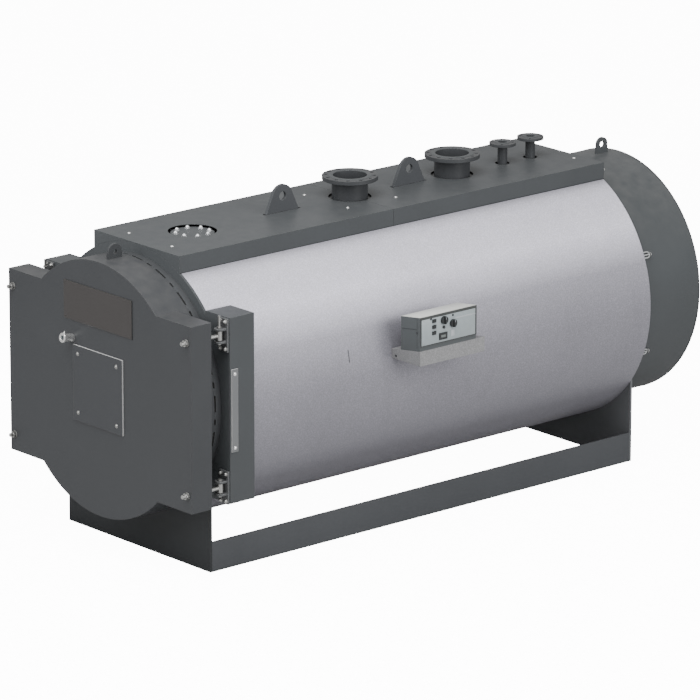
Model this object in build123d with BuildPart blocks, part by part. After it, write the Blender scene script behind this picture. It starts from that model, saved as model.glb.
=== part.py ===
from build123d import *
import math
import os

os.makedirs("parts", exist_ok=True)

# Frame: X to the right seen from the front, Y to the back, Z up, millimetres.
# The origin is on the floor under the front base plate, in the middle of its width and thickness.

overcut = 2.0

# Base
base_inset = 99.0
base_end_y = 3384.0
plate_thickness = 15.0
beam_height = 186.0
beam_flange = 80.0
beam_wall = 10.0
saddle_overlap = 1.389

# Pressure body
floor_clearance = 258.0
shell_radius = 765.0
shell_wall = 12.0
top_plate_half_width = 290.0
tube_plate_thickness = 18.0
tube_plate_recess = 10.0
rear_tube_plate_setback = 60.0
furnace_radius = 390.0
furnace_wall = 14.0
furnace_end_gap = 380.0
tube_radius = 35.0
tube_wall = 4.0
inner_ring_place = 0.30303
inner_ring_count = 12
outer_ring_place = 0.688705
outer_ring_count = 16
drain_radius = 30.0
drain_wall = 4.0
drain_offset_y = 135.0
drain_drop = 115.0

# Jacket
jacket_space = 70.0
jacket_sheet = 3.0
jacket_gap = 0.5
front_cover_thickness = 15.0

# Fixed ring in front of the shell, against which the door closes
ring_margin = 13.0
ring_width = 78.0
ring_front_y = -50.0

# Posts beside the shell that carry the hinges
post_width = 213.0
post_margin = 23.0
post_stand_out = 4.5
post_depth = 183.0
post_drop = 555.0
post_rise = 568.0
strip_length = 500.0
strip_width = 47.0
strip_thickness = 6.0
strip_rise = 257.0
strip_setback = 10.0

# Top cover
cover_half_width = 397.0
cover_rise = 76.0
cover_sheet = 3.0
cover_setback = 12.0
cover_seam_y = 1647.0
cover_joint = 2.0
jacket_tuck = 30.0

# Connections on top
nozzle_rise = 209.0
supply_y = 1645.0
return_y = 2471.0
safety_front_y = 2887.0
safety_rear_y = 3119.0
big_pipe_radius = 109.55
big_pipe_wall = 6.3
big_flange_radius = 170.0
big_flange_thickness = 24.0
big_bolt_circle = 295.0
big_bolt_count = 12
big_bolt_hole = 11.0
big_hole_clearance = 20.45
small_pipe_radius = 30.15
small_pipe_wall = 2.9
small_flange_radius = 82.5
small_flange_thickness = 18.0
small_bolt_circle = 125.0
small_bolt_count = 4
small_bolt_hole = 9.0
small_hole_clearance = 14.85
port_y = 418.0
port_neck_radius = 120.0
port_neck_wall = 8.0
port_cover_overhang = 11.0
port_cover_thickness = 16.0
port_recess = 11.0
port_hole_clearance = 26.0

# Lifting plates
lug_front_y = 1106.0
lug_rear_y = 2114.0
lug_thickness = 20.0
lug_base = 250.0
lug_eye_rise = 172.0
lug_head_radius = 78.0
lug_eye_lift = 7.0
lug_eye_radius = 27.0
lug_shoulder_half = 71.0
lug_shoulder_rise = 32.0
slot_clearance = 5.0
slot_end_clearance = 15.0
small_lug_width = 104.0
smoke_lug_width = 96.0
small_lug_rise = 58.0
small_lug_eye = 13.0
small_lug_thickness = 15.0
small_lug_root = 8.0
smoke_lug_taper = 88.0
smoke_lug_radius = 46.0
smoke_lug_eye = 19.0
door_lug_radius = 49.4
door_lug_rise = 41.0

# Smoke box at the back
smoke_box_length = 473.0
smoke_lug_setback = 133.0
back_plate_thickness = 10.0
flue_radius = 200.0
flue_wall = 4.0
flue_length = 150.0
flue_margin = 535.0
hatch_width = 560.0
hatch_height = 300.0
hatch_thickness = 12.0
hatch_margin = 375.0
hatch_bar_length = 190.0
hatch_bar = 12.0
clamp_setback = 60.0
clamp_angles = (23.0, -24.0)
clamp_length = 40.0
clamp_height = 44.0
clamp_bar = 8.0
clamp_rise = 16.0

# Door
door_inset = 1.0
door_depth = 235.0
door_gap = 12.0
door_sheet = 10.0
rim_wall = 6.0
ear_inset = 7.0
ear_depth = 153.0
ear_drop = 561.0
ear_rise = 564.0
lining_depth = 100.0
lining_gap = 1.0
lining_overlap = 10.0
boss_radius = 235.0
burner_bore = 180.0
boss_setback = 24.0
rope_inset = 38.0
rope_width = 24.0
rope_rise = 6.0
door_lug_setback = 125.0
burner_plate_margin = 100.0
burner_plate_thickness = 10.0
burner_plug_clearance = 2.0
burner_plug_depth = 90.0
nameplate_width = 634.0
nameplate_height = 232.0
nameplate_thickness = 5.0
nameplate_rise = 492.0
sight_x = -248.0
sight_rise = 263.0
sight_radius = 25.0
sight_wall = 11.0
sight_length = 84.0
sight_root = 4.0
sight_tilt = 10.0
sight_ring_wall = 4.0
sight_ring_depth = 14.0

# Hinges: the same set at both sides, above and below
hinge_inset = 47.0
hinge_lead = 2.0
hinge_rise = 462.0
hinge_drop = 458.0
barrel_radius = 20.0
barrel_height = 54.0
barrel_clearance = 0.05
pin_radius = 8.0
fork_clearance = 0.5
rod_radius = 12.0
rod_clearance = 0.5
rod_front_length = 38.0
nut_flats = 36.0
nut_height = 19.0
fork_gap = 5.0
fork_plate = 12.0
fork_width = 60.0
back_plate_width = 80.0
back_plate_height = 200.0
back_plate = 12.0
pin_engagement = 20.0
pin_backed_off = 25.0
pin_head_flats = 24.0
pin_head_height = 10.0
long_pin_rise = 13.0

# Control panel on the right side
panel_reach = 245.0
shelf_start_y = 1258.0
shelf_length = 512.0
shelf_rise = 84.0
shelf_height = 91.0
shelf_slope = 0.135
case_length = 441.0
case_depth = 170.0
case_height = 206.0
fascia_foot = 27.0
fascia_thickness = 6.0
control_clearance = 2.0
knob_radius = 24.0
knob_depth = 22.0
knob_grip_width = 9.0
knob_grip_depth = 8.0
knob_grip_inset = 2.0
spindle_radius = 3.0
spindle_clearance = 0.05
spindle_length = 5.0
knob_upper_place = (179.0, 165.0)
knob_lower_place = (250.0, 134.0)
switch_place = 102.0
switch_rises = (173.0, 136.0, 99.0)
switch_width = 28.0
switch_height = 22.0
switch_depth = 7.0
gauge_place = (174.0, 68.0)
gauge_size = (64.0, 42.0)
gauge_depth = 5.0

# Derived sizes and places, body first
body_front_y = -plate_thickness / 2.0
beam_start_y = body_front_y + plate_thickness
rear_plate_y = base_end_y - plate_thickness
axis_height = floor_clearance + shell_radius
shell_top_z = axis_height + shell_radius
base_half_width = shell_radius - base_inset
saddle_top = axis_height - math.sqrt(shell_radius**2 - base_half_width**2) + saddle_overlap
water_space = shell_radius - shell_wall - furnace_radius
inner_ring_radius = furnace_radius + inner_ring_place * water_space
outer_ring_radius = furnace_radius + outer_ring_place * water_space
rear_tube_plate_y = rear_plate_y - rear_tube_plate_setback
furnace_end_y = rear_tube_plate_y - furnace_end_gap
jacket_radius = shell_radius + jacket_space

# Derived: ring, posts and hinges
ring_outer = shell_radius + ring_margin
ring_inner = ring_outer - ring_width
post_outer_x = jacket_radius + post_margin
post_inner_x = post_outer_x - post_width
post_front_y = body_front_y - post_stand_out
post_back_y = post_front_y + post_depth
post_bottom = axis_height - post_drop
post_top = axis_height + post_rise
strip_top = axis_height + strip_rise
hinge_x = post_outer_x - hinge_inset
hinge_y = ring_front_y - hinge_lead
hinge_upper_z = axis_height + hinge_rise
hinge_lower_z = axis_height - hinge_drop
barrel_bore = pin_radius + barrel_clearance
pin_hole = pin_radius + fork_clearance
rod_hole = rod_radius + rod_clearance
long_pin_top = post_top + long_pin_rise

# Derived: top cover, connections and lifting plates
cover_top = shell_top_z + cover_rise
cover_end_y = base_end_y - cover_setback
cover_bottom = axis_height + math.sqrt(jacket_radius**2 - cover_half_width**2)
cover_skirt = cover_top - cover_bottom
cover_inner = cover_half_width - cover_sheet
nozzle_top = shell_top_z + nozzle_rise
big_bore_radius = big_pipe_radius - big_pipe_wall
big_cover_hole = big_pipe_radius + big_hole_clearance
small_bore_radius = small_pipe_radius - small_pipe_wall
small_cover_hole = small_pipe_radius + small_hole_clearance
port_cover_radius = port_neck_radius + port_cover_overhang
port_cover_top = cover_top - port_recess
port_hole = port_neck_radius + port_hole_clearance
lug_eye_height = shell_top_z + lug_eye_rise
lug_head_height = lug_eye_height - lug_eye_lift

# Derived: smoke box
smoke_box_end = base_end_y + smoke_box_length
smoke_lug_y = smoke_box_end - smoke_lug_setback
clamp_y = base_end_y + clamp_setback
hatch_drop = shell_radius - hatch_margin
flue_rise = shell_radius - flue_margin

# Derived: door
door_radius = ring_outer - door_inset
door_back_y = ring_front_y - door_gap
door_front_y = door_back_y - door_depth
ear_half_width = post_outer_x - ear_inset
ear_bottom = axis_height - ear_drop
ear_top = axis_height + ear_rise
ear_back_y = door_front_y + ear_depth
lining_wall_inner = ring_inner - lining_overlap
lining_back_y = door_front_y + door_sheet + lining_depth
rope_radius = ring_inner + rope_inset
door_lug_y = door_front_y + door_lug_setback
burner_plate_size = 2.0 * burner_bore + burner_plate_margin
burner_plug_radius = burner_bore - burner_plug_clearance
nameplate_z = axis_height + nameplate_rise
sight_z = axis_height + sight_rise
sight_bore = sight_radius - sight_wall
sight_ring_radius = sight_radius + sight_ring_wall

# Derived: control panel
panel_front_x = jacket_radius + panel_reach
shelf_bottom = axis_height + shelf_rise
shelf_front_top = shelf_bottom + shelf_height
case_top = shelf_front_top + case_height
fascia_x = panel_front_x + fascia_thickness
spindle_hole = spindle_radius + spindle_clearance
knob_upper_yz = (shelf_start_y + knob_upper_place[0], shelf_front_top + knob_upper_place[1])
knob_lower_yz = (shelf_start_y + knob_lower_place[0], shelf_front_top + knob_lower_place[1])
switch_y = shelf_start_y + switch_place
switch_heights = [shelf_front_top + rise for rise in switch_rises]
gauge_yz = (shelf_start_y + gauge_place[0], shelf_front_top + gauge_place[1])


def upright(y, z=axis_height, x=0.0):
    """Sketch plane facing the front at depth y, its own Y pointing up."""
    return Plane(origin=(x, y, z), x_dir=(1, 0, 0), z_dir=(0, -1, 0))


def sideways(x, y=0.0, z=0.0):
    """Sketch plane facing right at distance x, its own X along Y and Y up."""
    return Plane(origin=(x, y, z), x_dir=(0, 1, 0), z_dir=(1, 0, 0))


def level(z, x=0.0, y=0.0):
    """Sketch plane facing up at height z."""
    return Plane(origin=(x, y, z), x_dir=(1, 0, 0), z_dir=(0, 0, 1))


def ring_points(radius, count):
    """Points of a ring of equal holes, the first half a pitch from the top."""
    step = 2.0 * math.pi / count
    return [(radius * math.sin((i + 0.5) * step), radius * math.cos((i + 0.5) * step)) for i in range(count)]


def cut_posts():
    """Take the room of both hinge posts out of the piece being built."""
    width = post_outer_x - post_inner_x
    height = post_top - post_bottom
    middle_x = (post_outer_x + post_inner_x) / 2.0
    middle_z = (post_top + post_bottom) / 2.0
    with BuildSketch(upright(post_front_y, middle_z)) as rooms:
        with Locations((middle_x, 0), (-middle_x, 0)):
            Rectangle(width, height)
    extrude(rooms.sketch, amount=-(post_back_y - post_front_y), mode=Mode.SUBTRACT)


def finish(piece, name):
    """Label a piece and write it to the parts folder."""
    piece.part.label = name
    export_step(piece.part, f"parts/{name}.step")


inner_points = ring_points(inner_ring_radius, inner_ring_count)
outer_points = ring_points(outer_ring_radius, outer_ring_count)
tube_points = inner_points + outer_points
cover_holes = (
    (port_y, port_hole),
    (supply_y, big_cover_hole),
    (return_y, big_cover_hole),
    (safety_front_y, small_cover_hole),
    (safety_rear_y, small_cover_hole),
)
lug_positions = (lug_front_y, lug_rear_y)
slot_width = lug_thickness + 2.0 * slot_clearance
slot_length = lug_base + 2.0 * slot_end_clearance


def cut_top_openings():
    """Cut the holes and slots that the connections and lifting plates pass through."""
    with BuildSketch(level(axis_height + shell_radius)) as openings:
        for hole_y, hole_radius in cover_holes:
            with Locations((0, hole_y)):
                Circle(hole_radius)
        for lug_y in lug_positions:
            with Locations((0, lug_y)):
                Rectangle(slot_width, slot_length)
    extrude(openings.sketch, amount=cover_top - shell_top_z + overcut, mode=Mode.SUBTRACT)


# Base
with BuildPart() as base_front_plate:
    with BuildSketch(upright(body_front_y, 0.0)):
        with Locations((0, saddle_top / 2.0)):
            Rectangle(2.0 * base_half_width, saddle_top)
        with Locations((0, axis_height)):
            Circle(shell_radius, mode=Mode.SUBTRACT)
    extrude(amount=-plate_thickness)
    cut_posts()
finish(base_front_plate, "base_front_plate")

with BuildPart() as base_rear_plate:
    with BuildSketch(upright(rear_plate_y, 0.0)):
        with Locations((0, saddle_top / 2.0)):
            Rectangle(2.0 * base_half_width, saddle_top)
        with Locations((0, axis_height)):
            Circle(shell_radius, mode=Mode.SUBTRACT)
    extrude(amount=-plate_thickness)
finish(base_rear_plate, "base_rear_plate")

beam_length = rear_plate_y - beam_start_y

with BuildPart() as base_beams:
    for side in (1.0, -1.0):
        beam_x = side * (base_half_width - beam_flange / 2.0)
        with BuildSketch(upright(beam_start_y, beam_height / 2.0, beam_x)):
            Rectangle(beam_flange, beam_height)
            with Locations((-side * beam_wall / 2.0, beam_wall / 2.0)):
                Rectangle(beam_flange - beam_wall, beam_height - beam_wall, mode=Mode.SUBTRACT)
        extrude(amount=-beam_length)
finish(base_beams, "base_beams")

# Pressure body
shell_length = base_end_y - body_front_y

with BuildPart() as pressure_shell:
    with BuildSketch(upright(body_front_y)):
        Circle(shell_radius)
        Circle(shell_radius - shell_wall, mode=Mode.SUBTRACT)
    extrude(amount=-shell_length)
    with BuildSketch(level(axis_height - shell_radius - drain_drop, 0, rear_plate_y - drain_offset_y)):
        Circle(drain_radius)
    extrude(amount=drain_drop + shell_wall)
    with BuildSketch(level(axis_height - shell_radius - drain_drop, 0, rear_plate_y - drain_offset_y)):
        Circle(drain_radius - drain_wall)
    extrude(amount=drain_drop + 2.0 * shell_wall, mode=Mode.SUBTRACT)
    with BuildSketch(level(axis_height, 0, body_front_y + shell_length / 2.0)):
        Rectangle(2.0 * top_plate_half_width, shell_length + 2.0 * overcut)
    extrude(amount=shell_radius + overcut, mode=Mode.SUBTRACT)
finish(pressure_shell, "pressure_shell")

with BuildPart() as shell_top_plate:
    with BuildSketch(level(axis_height)):
        with Locations((0, body_front_y + shell_length / 2.0)):
            Rectangle(2.0 * top_plate_half_width, shell_length)
        with Locations((0, supply_y), (0, return_y)):
            Circle(big_bore_radius, mode=Mode.SUBTRACT)
        with Locations((0, safety_front_y), (0, safety_rear_y)):
            Circle(small_bore_radius, mode=Mode.SUBTRACT)
        with Locations((0, port_y)):
            Circle(port_neck_radius - port_neck_wall, mode=Mode.SUBTRACT)
    extrude(amount=shell_radius)
    with BuildSketch(upright(body_front_y)):
        Circle(shell_radius)
        Circle(shell_radius - shell_wall, mode=Mode.SUBTRACT)
    extrude(amount=-shell_length, mode=Mode.INTERSECT)
finish(shell_top_plate, "shell_top_plate")

with BuildPart() as front_tube_plate:
    with BuildSketch(upright(tube_plate_recess)):
        Circle(shell_radius - shell_wall)
        Circle(furnace_radius, mode=Mode.SUBTRACT)
        with Locations(*tube_points):
            Circle(tube_radius, mode=Mode.SUBTRACT)
    extrude(amount=-tube_plate_thickness)
finish(front_tube_plate, "front_tube_plate")

with BuildPart() as rear_tube_plate:
    with BuildSketch(upright(rear_tube_plate_y)):
        Circle(shell_radius - shell_wall)
        with Locations(*tube_points):
            Circle(tube_radius, mode=Mode.SUBTRACT)
    extrude(amount=-tube_plate_thickness)
finish(rear_tube_plate, "rear_tube_plate")

with BuildPart() as furnace_tube:
    with BuildSketch(upright(tube_plate_recess)):
        Circle(furnace_radius)
        Circle(furnace_radius - furnace_wall, mode=Mode.SUBTRACT)
    extrude(amount=-(furnace_end_y - tube_plate_recess))
finish(furnace_tube, "furnace_tube")

with BuildPart() as furnace_end:
    with BuildSketch(upright(furnace_end_y)):
        Circle(furnace_radius)
    extrude(amount=-tube_plate_thickness)
finish(furnace_end, "furnace_end")

with BuildPart() as smoke_tubes:
    with BuildSketch(upright(tube_plate_recess)):
        with Locations(*tube_points):
            Circle(tube_radius)
        with Locations(*tube_points):
            Circle(tube_radius - tube_wall, mode=Mode.SUBTRACT)
    extrude(amount=-(rear_tube_plate_y + tube_plate_thickness - tube_plate_recess))
finish(smoke_tubes, "smoke_tubes")

with BuildPart() as door_frame_ring:
    with BuildSketch(upright(ring_front_y)):
        Circle(ring_outer)
        Circle(ring_inner, mode=Mode.SUBTRACT)
    extrude(amount=-(body_front_y - ring_front_y))
finish(door_frame_ring, "door_frame_ring")

# Jacket, open at the top under the cover
jacket_start = body_front_y + front_cover_thickness + jacket_gap
jacket_end = rear_plate_y - jacket_gap

with BuildPart() as jacket:
    with BuildSketch(upright(jacket_start)):
        Circle(jacket_radius)
        Circle(jacket_radius - jacket_sheet, mode=Mode.SUBTRACT)
    extrude(amount=-(jacket_end - jacket_start))
    with BuildSketch(upright(jacket_end - jacket_sheet)):
        Circle(jacket_radius)
        Circle(shell_radius + jacket_gap, mode=Mode.SUBTRACT)
    extrude(amount=-jacket_sheet)
    cut_posts()
    with BuildSketch(level(axis_height, 0, (jacket_start + jacket_end) / 2.0)):
        Rectangle(2.0 * (cover_half_width - jacket_tuck), jacket_end - jacket_start + overcut)
    extrude(amount=jacket_radius, mode=Mode.SUBTRACT)
    with BuildSketch(level(0.0, 0, rear_plate_y - drain_offset_y)):
        Circle(drain_radius + slot_clearance)
    extrude(amount=axis_height - shell_radius, mode=Mode.SUBTRACT)
finish(jacket, "jacket")

with BuildPart() as jacket_front_cover:
    with BuildSketch(upright(body_front_y)):
        Circle(jacket_radius)
        Circle(shell_radius + jacket_gap, mode=Mode.SUBTRACT)
        with Locations((0, saddle_top / 2.0 - axis_height)):
            Rectangle(2.0 * base_half_width, saddle_top, mode=Mode.SUBTRACT)
    extrude(amount=-front_cover_thickness)
    cut_posts()
finish(jacket_front_cover, "jacket_front_cover")

# Hinge posts
post_height = post_top - post_bottom
post_middle_x = (post_outer_x + post_inner_x) / 2.0
post_middle_z = (post_top + post_bottom) / 2.0

with BuildPart() as hinge_post_right:
    with BuildSketch(upright(post_front_y, post_middle_z, post_middle_x)):
        Rectangle(post_width, post_height)
    extrude(amount=-(post_back_y - post_front_y))
    with BuildSketch(upright(post_front_y - overcut)):
        Circle(ring_outer + jacket_gap)
    extrude(amount=-(post_back_y - post_front_y + 2.0 * overcut), mode=Mode.SUBTRACT)
finish(hinge_post_right, "hinge_post_right")

with BuildPart() as hinge_post_left:
    with BuildSketch(upright(post_front_y, post_middle_z, -post_middle_x)):
        Rectangle(post_width, post_height)
    extrude(amount=-(post_back_y - post_front_y))
    with BuildSketch(upright(post_front_y - overcut)):
        Circle(ring_outer + jacket_gap)
    extrude(amount=-(post_back_y - post_front_y + 2.0 * overcut), mode=Mode.SUBTRACT)
finish(hinge_post_left, "hinge_post_left")

strip_y = post_front_y + strip_setback + strip_width / 2.0
strip_z = strip_top - strip_length / 2.0

with BuildPart() as post_strips:
    with BuildSketch(sideways(post_outer_x, strip_y, strip_z)):
        Rectangle(strip_width, strip_length)
    extrude(amount=strip_thickness)
    with BuildSketch(sideways(-post_outer_x - strip_thickness, strip_y, strip_z)):
        Rectangle(strip_width, strip_length)
    extrude(amount=strip_thickness)
finish(post_strips, "post_strips")

# Top cover, in two halves with a seam
with BuildPart() as top_cover_front:
    with BuildSketch(upright(body_front_y, cover_bottom + cover_skirt / 2.0)):
        Rectangle(2.0 * cover_half_width, cover_skirt)
    extrude(amount=-(cover_seam_y - cover_joint / 2.0 - body_front_y))
    with BuildSketch(upright(body_front_y + cover_sheet, cover_bottom + (cover_skirt - cover_sheet) / 2.0)):
        Rectangle(2.0 * cover_inner, cover_skirt - cover_sheet)
    extrude(amount=-(cover_seam_y - body_front_y), mode=Mode.SUBTRACT)
    with BuildSketch(upright(body_front_y - overcut)):
        Circle(jacket_radius)
    extrude(amount=-(cover_end_y - body_front_y), mode=Mode.SUBTRACT)
    cut_top_openings()
finish(top_cover_front, "top_cover_front")

with BuildPart() as top_cover_rear:
    with BuildSketch(upright(cover_seam_y + cover_joint / 2.0, cover_bottom + cover_skirt / 2.0)):
        Rectangle(2.0 * cover_half_width, cover_skirt)
    extrude(amount=-(cover_end_y - cover_seam_y - cover_joint / 2.0))
    with BuildSketch(upright(cover_seam_y, cover_bottom + (cover_skirt - cover_sheet) / 2.0)):
        Rectangle(2.0 * cover_inner, cover_skirt - cover_sheet)
    extrude(amount=-(cover_end_y - cover_sheet - cover_seam_y), mode=Mode.SUBTRACT)
    with BuildSketch(upright(cover_seam_y)):
        Circle(jacket_radius)
    extrude(amount=-(cover_end_y - body_front_y), mode=Mode.SUBTRACT)
    cut_top_openings()
finish(top_cover_rear, "top_cover_rear")

# Lifting plates on the pressure shell
with BuildPart() as lifting_lugs:
    for lug_y in lug_positions:
        with BuildSketch(sideways(-lug_thickness / 2.0, lug_y, lug_head_height)):
            Circle(lug_head_radius)
            with BuildLine():
                Polyline(
                    (-lug_base / 2.0, cover_top - lug_head_height),
                    (-lug_shoulder_half, lug_shoulder_rise),
                    (lug_shoulder_half, lug_shoulder_rise),
                    (lug_base / 2.0, cover_top - lug_head_height),
                    (lug_base / 2.0, axis_height - lug_head_height),
                    (-lug_base / 2.0, axis_height - lug_head_height),
                    close=True,
                )
            make_face()
            with Locations((0, lug_eye_height - lug_head_height)):
                Circle(lug_eye_radius, mode=Mode.SUBTRACT)
        extrude(amount=lug_thickness)
    with BuildSketch(upright(0.0)):
        Circle(shell_radius)
    extrude(amount=-base_end_y, mode=Mode.SUBTRACT)
finish(lifting_lugs, "lifting_lugs")


def nozzle(y, pipe, bore, flange, thickness, circle, count, hole):
    """Build one flanged pipe stub standing on the shell at depth y."""
    with BuildSketch(level(axis_height, 0, y)) as outside:
        Circle(pipe)
    extrude(outside.sketch, amount=nozzle_top - axis_height)
    with BuildSketch(level(nozzle_top - thickness, 0, y)) as rim:
        Circle(flange)
        with PolarLocations(circle / 2.0, count, start_angle=180.0 / count):
            Circle(hole, mode=Mode.SUBTRACT)
    extrude(rim.sketch, amount=thickness)
    with BuildSketch(level(axis_height, 0, y)) as inside:
        Circle(bore)
    extrude(inside.sketch, amount=nozzle_top - axis_height + overcut, mode=Mode.SUBTRACT)
    with BuildSketch(upright(y - 2.0 * flange)) as body:
        Circle(shell_radius)
    extrude(body.sketch, amount=-4.0 * flange, mode=Mode.SUBTRACT)


big_sizes = (
    big_pipe_radius,
    big_bore_radius,
    big_flange_radius,
    big_flange_thickness,
    big_bolt_circle,
    big_bolt_count,
    big_bolt_hole,
)
small_sizes = (
    small_pipe_radius,
    small_bore_radius,
    small_flange_radius,
    small_flange_thickness,
    small_bolt_circle,
    small_bolt_count,
    small_bolt_hole,
)

with BuildPart() as supply_nozzle:
    nozzle(supply_y, *big_sizes)
finish(supply_nozzle, "supply_nozzle")

with BuildPart() as return_nozzle:
    nozzle(return_y, *big_sizes)
finish(return_nozzle, "return_nozzle")

with BuildPart() as safety_nozzles:
    nozzle(safety_front_y, *small_sizes)
    nozzle(safety_rear_y, *small_sizes)
finish(safety_nozzles, "safety_nozzles")

port_neck_top = port_cover_top - port_cover_thickness

with BuildPart() as inspection_neck:
    with BuildSketch(level(axis_height, 0, port_y)):
        Circle(port_neck_radius)
        Circle(port_neck_radius - port_neck_wall, mode=Mode.SUBTRACT)
    extrude(amount=port_neck_top - axis_height)
    with BuildSketch(upright(port_y - 2.0 * port_neck_radius)):
        Circle(shell_radius)
    extrude(amount=-4.0 * port_neck_radius, mode=Mode.SUBTRACT)
finish(inspection_neck, "inspection_neck")

with BuildPart() as inspection_cover:
    with BuildSketch(level(port_neck_top, 0, port_y)):
        Circle(port_cover_radius)
    extrude(amount=port_cover_thickness)
finish(inspection_cover, "inspection_cover")

# Smoke box
smoke_back_y = smoke_box_end - back_plate_thickness

with BuildPart() as smoke_box:
    with BuildSketch(upright(base_end_y)):
        Circle(shell_radius)
        Circle(shell_radius - shell_wall, mode=Mode.SUBTRACT)
    extrude(amount=-(smoke_back_y - base_end_y))
    small_eye_z = shell_top_z + small_lug_rise
    with BuildSketch(sideways(-small_lug_thickness / 2.0, smoke_lug_y, small_eye_z)):
        Circle(smoke_lug_radius)
        with Locations((0, -small_lug_rise / 2.0)):
            Trapezoid(smoke_lug_width, small_lug_rise + small_lug_root, smoke_lug_taper)
        Circle(smoke_lug_eye, mode=Mode.SUBTRACT)
    extrude(amount=small_lug_thickness)
finish(smoke_box, "smoke_box")

with BuildPart() as smoke_box_back:
    with BuildSketch(upright(smoke_back_y)):
        Circle(shell_radius)
        with Locations((0, flue_rise)):
            Circle(flue_radius - flue_wall, mode=Mode.SUBTRACT)
    extrude(amount=-back_plate_thickness)
finish(smoke_box_back, "smoke_box_back")

with BuildPart() as flue_spigot:
    with BuildSketch(upright(smoke_box_end, axis_height + flue_rise)):
        Circle(flue_radius)
        Circle(flue_radius - flue_wall, mode=Mode.SUBTRACT)
    extrude(amount=-flue_length)
finish(flue_spigot, "flue_spigot")

with BuildPart() as cleaning_hatch:
    with BuildSketch(upright(smoke_box_end, axis_height - hatch_drop)):
        Rectangle(hatch_width, hatch_height)
    extrude(amount=-hatch_thickness)
    with BuildSketch(upright(smoke_box_end + hatch_thickness, axis_height - hatch_drop)):
        Rectangle(hatch_bar_length, hatch_bar)
    extrude(amount=-hatch_bar)
finish(cleaning_hatch, "cleaning_hatch")

hook_radius = clamp_height / 2.0

with BuildPart() as smoke_box_clamps:
    for side in (1.0, -1.0):
        for angle in clamp_angles:
            radial = Vector(side * math.cos(math.radians(angle)), 0, math.sin(math.radians(angle)))
            foot = Vector(0, clamp_y, axis_height) + radial * shell_radius
            with BuildSketch(Plane(origin=foot, x_dir=(0, 1, 0), z_dir=radial)):
                Circle(hook_radius)
                with Locations((-clamp_length / 2.0, 0)):
                    Rectangle(clamp_length, clamp_height)
                Circle(hook_radius - clamp_bar, mode=Mode.SUBTRACT)
                with Locations((-clamp_length / 2.0, 0)):
                    Rectangle(clamp_length, clamp_height - 2.0 * clamp_bar, mode=Mode.SUBTRACT)
                with Locations(((hook_radius - clamp_length) / 2.0, 0)):
                    Rectangle(clamp_length + hook_radius, clamp_bar)
            extrude(amount=clamp_rise)
    with BuildSketch(upright(base_end_y)):
        Circle(shell_radius)
    extrude(amount=-(smoke_box_end - base_end_y), mode=Mode.SUBTRACT)
finish(smoke_box_clamps, "smoke_box_clamps")

# Door skin: front plate, rim, side ears and the eye plate on top
ear_height = ear_top - ear_bottom
ear_middle_z = (ear_top + ear_bottom) / 2.0
door_top_z = axis_height + door_radius
rod_places = (
    (hinge_x, hinge_upper_z - axis_height),
    (hinge_x, hinge_lower_z - axis_height),
    (-hinge_x, hinge_upper_z - axis_height),
    (-hinge_x, hinge_lower_z - axis_height),
)

with BuildPart() as door_skin:
    with BuildSketch(upright(door_front_y)):
        Circle(door_radius)
    extrude(amount=-door_depth)
    with BuildSketch(upright(door_front_y, ear_middle_z)):
        Rectangle(2.0 * ear_half_width, ear_height)
    extrude(amount=-ear_depth)
    with BuildSketch(sideways(-small_lug_thickness / 2.0, door_lug_y, door_top_z + door_lug_rise)):
        Circle(door_lug_radius)
        with Locations((0, -small_lug_rise / 2.0)):
            Rectangle(small_lug_width, small_lug_rise)
        Circle(small_lug_eye, mode=Mode.SUBTRACT)
    extrude(amount=small_lug_thickness)
    with BuildSketch(upright(door_front_y + door_sheet)):
        Circle(door_radius - rim_wall)
    extrude(amount=-door_depth, mode=Mode.SUBTRACT)
    with BuildSketch(upright(door_front_y - overcut)):
        Circle(burner_bore)
        with Locations(*rod_places):
            Circle(rod_hole)
    extrude(amount=-(ear_depth + 2.0 * overcut), mode=Mode.SUBTRACT)
finish(door_skin, "door_skin")

with BuildPart() as door_lining:
    with BuildSketch(upright(door_front_y + door_sheet)):
        Circle(door_radius - rim_wall - lining_gap)
    extrude(amount=-(door_depth - door_sheet))
    with BuildSketch(upright(lining_back_y)):
        Circle(lining_wall_inner)
        Circle(boss_radius, mode=Mode.SUBTRACT)
    extrude(amount=-door_depth, mode=Mode.SUBTRACT)
    with BuildSketch(upright(door_back_y - boss_setback)):
        Circle(boss_radius)
    extrude(amount=-door_depth, mode=Mode.SUBTRACT)
    with BuildSketch(upright(door_front_y)):
        Circle(burner_bore)
    extrude(amount=-door_depth, mode=Mode.SUBTRACT)
finish(door_lining, "door_lining")

with BuildPart() as door_rope:
    with BuildSketch(upright(door_back_y)):
        Circle(rope_radius + rope_width / 2.0)
        Circle(rope_radius - rope_width / 2.0, mode=Mode.SUBTRACT)
    extrude(amount=-rope_rise)
finish(door_rope, "door_rope")

with BuildPart() as burner_plate:
    with BuildSketch(upright(door_front_y - burner_plate_thickness)):
        Rectangle(burner_plate_size, burner_plate_size)
    extrude(amount=-burner_plate_thickness)
    with BuildSketch(upright(door_front_y)):
        Circle(burner_plug_radius)
    extrude(amount=-burner_plug_depth)
finish(burner_plate, "burner_plate")

with BuildPart() as nameplate:
    with BuildSketch(upright(door_front_y - nameplate_thickness, nameplate_z)):
        Rectangle(nameplate_width, nameplate_height)
    extrude(amount=-nameplate_thickness)
finish(nameplate, "nameplate")

tilt = math.radians(sight_tilt)
sight_direction = Vector(0, -math.cos(tilt), math.sin(tilt))
sight_foot = Vector(sight_x, door_front_y + sight_radius * math.sin(tilt) + sight_root, sight_z)
sight_nose = sight_foot + sight_direction * (sight_length - sight_ring_depth)

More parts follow.
